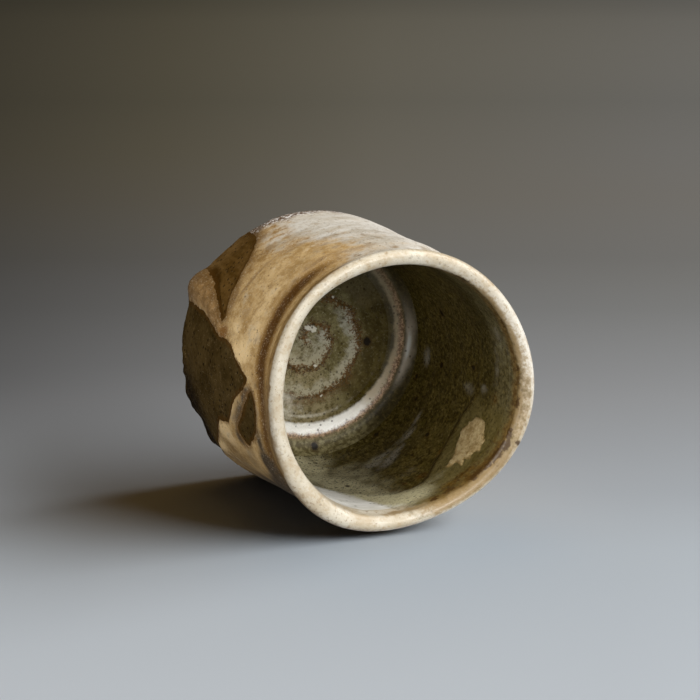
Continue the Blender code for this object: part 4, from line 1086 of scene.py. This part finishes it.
    # Painted highlight: the small glint on the foot of the wall.
    colour = p.mix(p.fade(p.attr("glint"), 0.2, 0.9, 0.0, 0.85), colour, (0.470, 0.480, 0.450))
    # Pale spots on the floor: painted glints and pale ash lumps.
    lump = p.fade(p.add(p.attr("lump"), p.add(p.mul(p.math("SUBTRACT", dust, 0.5), 2.4), p.mul(p.math("SUBTRACT", milk_noise, 0.5), 2.4))), -0.15, 0.30)
    colour = p.mix(p.mul(lump, 0.9), colour, (0.60, 0.575, 0.48))
    slope = p.mul(p.fade(far, 0.25, 0.60, 1.0, 0.45), p.mul(p.fade(reach, 17.2, 18.4), p.fade(reach, 21.6, 22.2, 1.0, 0.0)))
    rough = p.math("SUBTRACT", p.fade(k["fine"], 0.3, 0.7, 0.55, 0.65), p.mul(slope, 0.46))
    return inner_finish(p, k, colour, rough=rough, bump=0.14, level=level)


def patch_material():
    p = Paint("splash_slip")
    inside = p.attr("inside")
    cloud = p.noise(0.45, 5.0, 0.65)
    fine = p.noise(1.4, 4.0, 0.66)
    colour = p.mix(p.fade(cloud, 0.36, 0.64), (0.215, 0.142, 0.053), (0.385, 0.296, 0.152))
    colour = p.mix(p.fade(fine, 0.54, 0.68, 0.0, 0.6), colour, (0.150, 0.088, 0.022))
    colour = p.mix(p.fade(fine, 0.44, 0.33, 0.0, 0.5), colour, (0.490, 0.400, 0.242))
    rim = p.fade(p.add(inside, p.mul(p.math("SUBTRACT", fine, 0.5), 2.4)), -0.3, 0.8, 1.0, 0.0)
    colour = p.mix(rim, colour, (0.115, 0.075, 0.020))
    return p.done(colour, p.fade(fine, 0.3, 0.7, 0.42, 0.62), p.bump(fine, 0.16), level=0.25)


# ----------------------------------------------------------------- the stage
RIGHT = Vector((-0.65111, -0.65111, 0.39)).normalized()
UP = Vector((0.70711, -0.70711, 0.0))
TOWARDS = RIGHT.cross(UP).normalized()              # along the floor, to the viewer
# Tone of the floor by distance towards the viewer, in metres: painted light falloff.
FLOOR_TONES = ((-0.83, (0.455, 0.408, 0.325)), (-0.55, (0.285, 0.266, 0.222)), (-0.33, (0.268, 0.249, 0.215)),
               (-0.23, (0.259, 0.252, 0.236)), (-0.16, (0.305, 0.305, 0.300)), (-0.06, (0.440, 0.446, 0.460)),
               (0.02, (0.498, 0.526, 0.560)), (0.06, (0.583, 0.625, 0.668)), (0.14, (0.695, 0.733, 0.776)))
CAMERA = Vector((0.25670, 0.05336, 0.54673))
CAMERA_UP = Vector((0.61976, -0.75274, -0.222))
CAMERA_BACK = Vector((0.43812, 0.09716, 0.89365))


def stage_floor(lowest):
    """One-sided floor that the cup lies on, paler towards the viewer as painted light falloff."""
    size = 3.0
    corners = [UP * lowest + RIGHT * (sx * size) + TOWARDS * (sy * size)
               for sx, sy in ((-1, -1), (1, -1), (1, 1), (-1, 1))]
    mesh = bpy.data.meshes.new("stage_floor")
    mesh.from_pydata([c[:] for c in corners], [], [(0, 1, 2, 3)])
    if mesh.polygons[0].normal.dot(UP) < 0.0:
        mesh.flip_normals()
    floor = bpy.data.objects.new("stage_floor", mesh)
    bpy.context.scene.collection.objects.link(floor)
    mat = bpy.data.materials.new("stage_floor")
    mat.use_nodes = True
    tree = mat.node_tree
    bsdf, out = tree.nodes["Principled BSDF"], tree.nodes["Material Output"]
    bsdf.inputs["Roughness"].default_value = 0.9
    bsdf.inputs["Specular IOR Level"].default_value = 0.1
    where = tree.nodes.new("ShaderNodeTexCoord")
    dot = tree.nodes.new("ShaderNodeVectorMath")
    dot.operation = "DOT_PRODUCT"
    dot.inputs[1].default_value = TOWARDS[:]
    tree.links.new(where.outputs["Object"], dot.inputs[0])
    span = tree.nodes.new("ShaderNodeMapRange")
    span.inputs["From Min"].default_value = FLOOR_TONES[0][0]
    span.inputs["From Max"].default_value = FLOOR_TONES[-1][0]
    tree.links.new(dot.outputs["Value"], span.inputs["Value"])
    ramp = tree.nodes.new("ShaderNodeValToRGB")
    stops = ramp.color_ramp.elements
    length = FLOOR_TONES[-1][0] - FLOOR_TONES[0][0]
    for i, (at, tone) in enumerate(FLOOR_TONES):
        where_to = (at - FLOOR_TONES[0][0]) / length
        stop = stops[0] if i == 0 else stops[-1] if i == len(FLOOR_TONES) - 1 else stops.new(where_to)
        stop.color = (*tone, 1.0)
    tree.links.new(span.outputs[0], ramp.inputs[0])
    # Painted light falloff: darker to the left, except close to the viewer.
    across = tree.nodes.new("ShaderNodeVectorMath")
    across.operation = "DOT_PRODUCT"
    across.inputs[1].default_value = RIGHT[:]
    tree.links.new(where.outputs["Object"], across.inputs[0])
    depth = tree.nodes.new("ShaderNodeMath")
    depth.operation = "SUBTRACT"
    depth.inputs[0].default_value = 0.59
    tree.links.new(dot.outputs["Value"], depth.inputs[1])
    slant = tree.nodes.new("ShaderNodeMath")
    slant.operation = "DIVIDE"
    tree.links.new(across.outputs["Value"], slant.inputs[0])
    tree.links.new(depth.outputs[0], slant.inputs[1])
    left = tree.nodes.new("ShaderNodeMapRange")
    left.inputs["From Min"].default_value, left.inputs["From Max"].default_value = -0.12, 0.02
    left.inputs["To Min"].default_value, left.inputs["To Max"].default_value = 0.42, 0.75
    tree.links.new(slant.outputs[0], left.inputs["Value"])
    close = tree.nodes.new("ShaderNodeMapRange")
    close.interpolation_type = "SMOOTHSTEP"
    close.inputs["From Min"].default_value, close.inputs["From Max"].default_value = -0.10, 0.07
    tree.links.new(dot.outputs["Value"], close.inputs["Value"])
    even = tree.nodes.new("ShaderNodeMix")
    tree.links.new(close.outputs[0], even.inputs[0])
    tree.links.new(left.outputs[0], even.inputs[2])
    front = tree.nodes.new("ShaderNodeMapRange")
    front.inputs["From Min"].default_value, front.inputs["From Max"].default_value = -0.13, 0.13
    front.inputs["To Min"].default_value, front.inputs["To Max"].default_value = 1.10, 0.92
    tree.links.new(slant.outputs[0], front.inputs["Value"])
    tree.links.new(front.outputs[0], even.inputs[3])
    # Painted light colour: far back it is warmer to the left and cooler to the right.
    side = tree.nodes.new("ShaderNodeMapRange")
    side.inputs["From Min"].default_value, side.inputs["From Max"].default_value = -0.06, 0.13
    tree.links.new(slant.outputs[0], side.inputs["Value"])
    cast = tree.nodes.new("ShaderNodeMix")
    cast.data_type = "RGBA"
    tree.links.new(side.outputs[0], cast.inputs[0])
    cast.inputs[6].default_value = (1.0, 0.97, 0.82, 1.0)
    cast.inputs[7].default_value = (1.0, 1.03, 1.12, 1.0)
    away = tree.nodes.new("ShaderNodeMapRange")
    away.inputs["From Min"].default_value, away.inputs["From Max"].default_value = -0.20, -0.42
    tree.links.new(dot.outputs["Value"], away.inputs["Value"])
    tint = tree.nodes.new("ShaderNodeMix")
    tint.data_type = "RGBA"
    tint.blend_type = "MULTIPLY"
    tree.links.new(away.outputs[0], tint.inputs[0])
    tree.links.new(ramp.outputs[0], tint.inputs[6])
    tree.links.new(cast.outputs[2], tint.inputs[7])
    shade = tree.nodes.new("ShaderNodeVectorMath")
    shade.operation = "SCALE"
    tree.links.new(tint.outputs[2], shade.inputs[0])
    tree.links.new(even.outputs[0], shade.inputs["Scale"])
    tree.links.new(shade.outputs[0], bsdf.inputs["Base Color"])
    clear = tree.nodes.new("ShaderNodeBsdfTransparent")
    facing = tree.nodes.new("ShaderNodeNewGeometry")
    blend = tree.nodes.new("ShaderNodeMixShader")
    tree.links.new(facing.outputs["Backfacing"], blend.inputs[0])
    tree.links.new(bsdf.outputs[0], blend.inputs[1])
    tree.links.new(clear.outputs[0], blend.inputs[2])
    tree.links.new(blend.outputs[0], out.inputs["Surface"])
    mesh.materials.append(mat)
    return floor


def area_light(name, right, up, towards, width, depth, power, colour, only=None, shadows=None):
    """Soft box placed from the cup's middle, in metres to the right, up and to the viewer.

    only names a collection: the box then lights nothing else. shadows names the collection
    that can stand in its way, in place of everything.
    """
    target = Vector((AXIS_X * MM, AXIS_Y * MM, 0.0275))
    spot = target + RIGHT * right + UP * up + TOWARDS * towards
    data = bpy.data.lights.new(name, "AREA")
    data.shape = "RECTANGLE"
    data.size, data.size_y = width, depth
    data.energy = power
    data.color = colour
    light = bpy.data.objects.new(name, data)
    bpy.context.scene.collection.objects.link(light)
    back = (spot - target).normalized()
    side = UP.cross(back).normalized()
    light.matrix_world = Matrix((side, back.cross(side), back)).transposed().to_4x4()
    light.matrix_world.translation = spot
    light.visible_camera = False
    if only is not None:
        light.light_linking.receiver_collection = only
    if shadows is not None:
        light.light_linking.blocker_collection = shadows
    return light


def stage_camera():
    data = bpy.data.cameras.new("camera")
    data.sensor_fit = "HORIZONTAL"
    data.sensor_width = 36.0
    data.lens = 36.0 * 2700.0 / 700.0
    data.clip_start, data.clip_end = 0.01, 20.0
    camera = bpy.data.objects.new("camera", data)
    bpy.context.scene.collection.objects.link(camera)
    back = CAMERA_BACK.normalized()
    right = CAMERA_UP.cross(back).normalized()
    up = back.cross(right)
    camera.matrix_world = Matrix((right, up, back)).transposed().to_4x4()
    camera.matrix_world.translation = CAMERA
    bpy.context.scene.camera = camera


def stage_world():
    world = bpy.data.worlds.new("studio")
    world.use_nodes = True
    sky = world.node_tree.nodes["Background"]
    sky.inputs["Color"].default_value = (0.92, 0.96, 1.0, 1.0)
    sky.inputs["Strength"].default_value = 0.003
    bpy.context.scene.world = world
    bpy.context.scene.view_settings.view_transform = "Standard"


# ------------------------------------------------------------------ assembly
def main():
    work = (
        (make_clay(), "clay_body", clay_material()),
        (make_coat(), "outer_slip_coat", slip_material()),
        (make_lip(), "lip_glaze", lip_material()),
        (make_inner_wall(), "inner_wall_glaze", wall_material()),
        (make_ring(), "floor_edge_glaze", floor_material("pooled_ash_glaze", 0.4)),
        (make_floor(), "floor_glaze", floor_material("floor_ash_glaze", 0.12)),
        (make_patch(), "inner_slip_patch", patch_material()),
    )
    lowest = 1.0
    cup = bpy.data.collections.new("cup_pieces")
    for piece, node, mat in work:
        cup.objects.link(piece)
        piece.data.materials.append(mat)
        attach(piece, "root")
        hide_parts(node)
        points = np.empty(len(piece.data.vertices) * 3)
        piece.data.vertices.foreach_get("co", points)
        lowest = min(lowest, float((points.reshape(-1, 3) @ np.array(UP[:])).min()))
    stage = bpy.data.collections.new("stage_pieces")
    stage.objects.link(stage_floor(lowest))
    stage_world()
    area_light("floor_window", 0.71, 0.48, 0.04, 1.35, 0.55, 12.8, (0.93, 0.97, 1.0), stage)
    area_light("floor_warmth", -0.05, 0.58, -0.34, 0.5, 0.5, 0.48, (1.0, 0.61, 0.22), stage)
    under = area_light("under_fill", 0.12, -0.55, -0.22, 0.5, 0.5, 0.9, (1.0, 0.98, 0.95), cup, cup)
    area_light("key_window", 0.61, 0.53, -0.04, 0.5, 0.5, 7.6, (1.0, 0.985, 0.96), cup)
    beside = area_light("left_fill", -0.45, 0.59, 0.52, 0.5, 0.4, 5.7, (1.0, 0.97, 0.92), cup)
    area_light("left_window", -0.28, 0.07, 0.86, 0.35, 0.25, 2.6, (1.0, 0.98, 0.95), cup)
    area_light("front_window", 0.48, 0.25, 0.74, 0.35, 0.35, 3.4, (1.0, 0.99, 0.97), cup)
    area_light("side_window", 0.594, 0.288, 0.612, 0.42, 0.2, 3.6, (1.0, 0.99, 0.97), cup)
    for light in (under, beside):
        light.data.cycles.max_bounces = 0           # no light thrown on from the cup into its shadow
    stage_camera()


main()
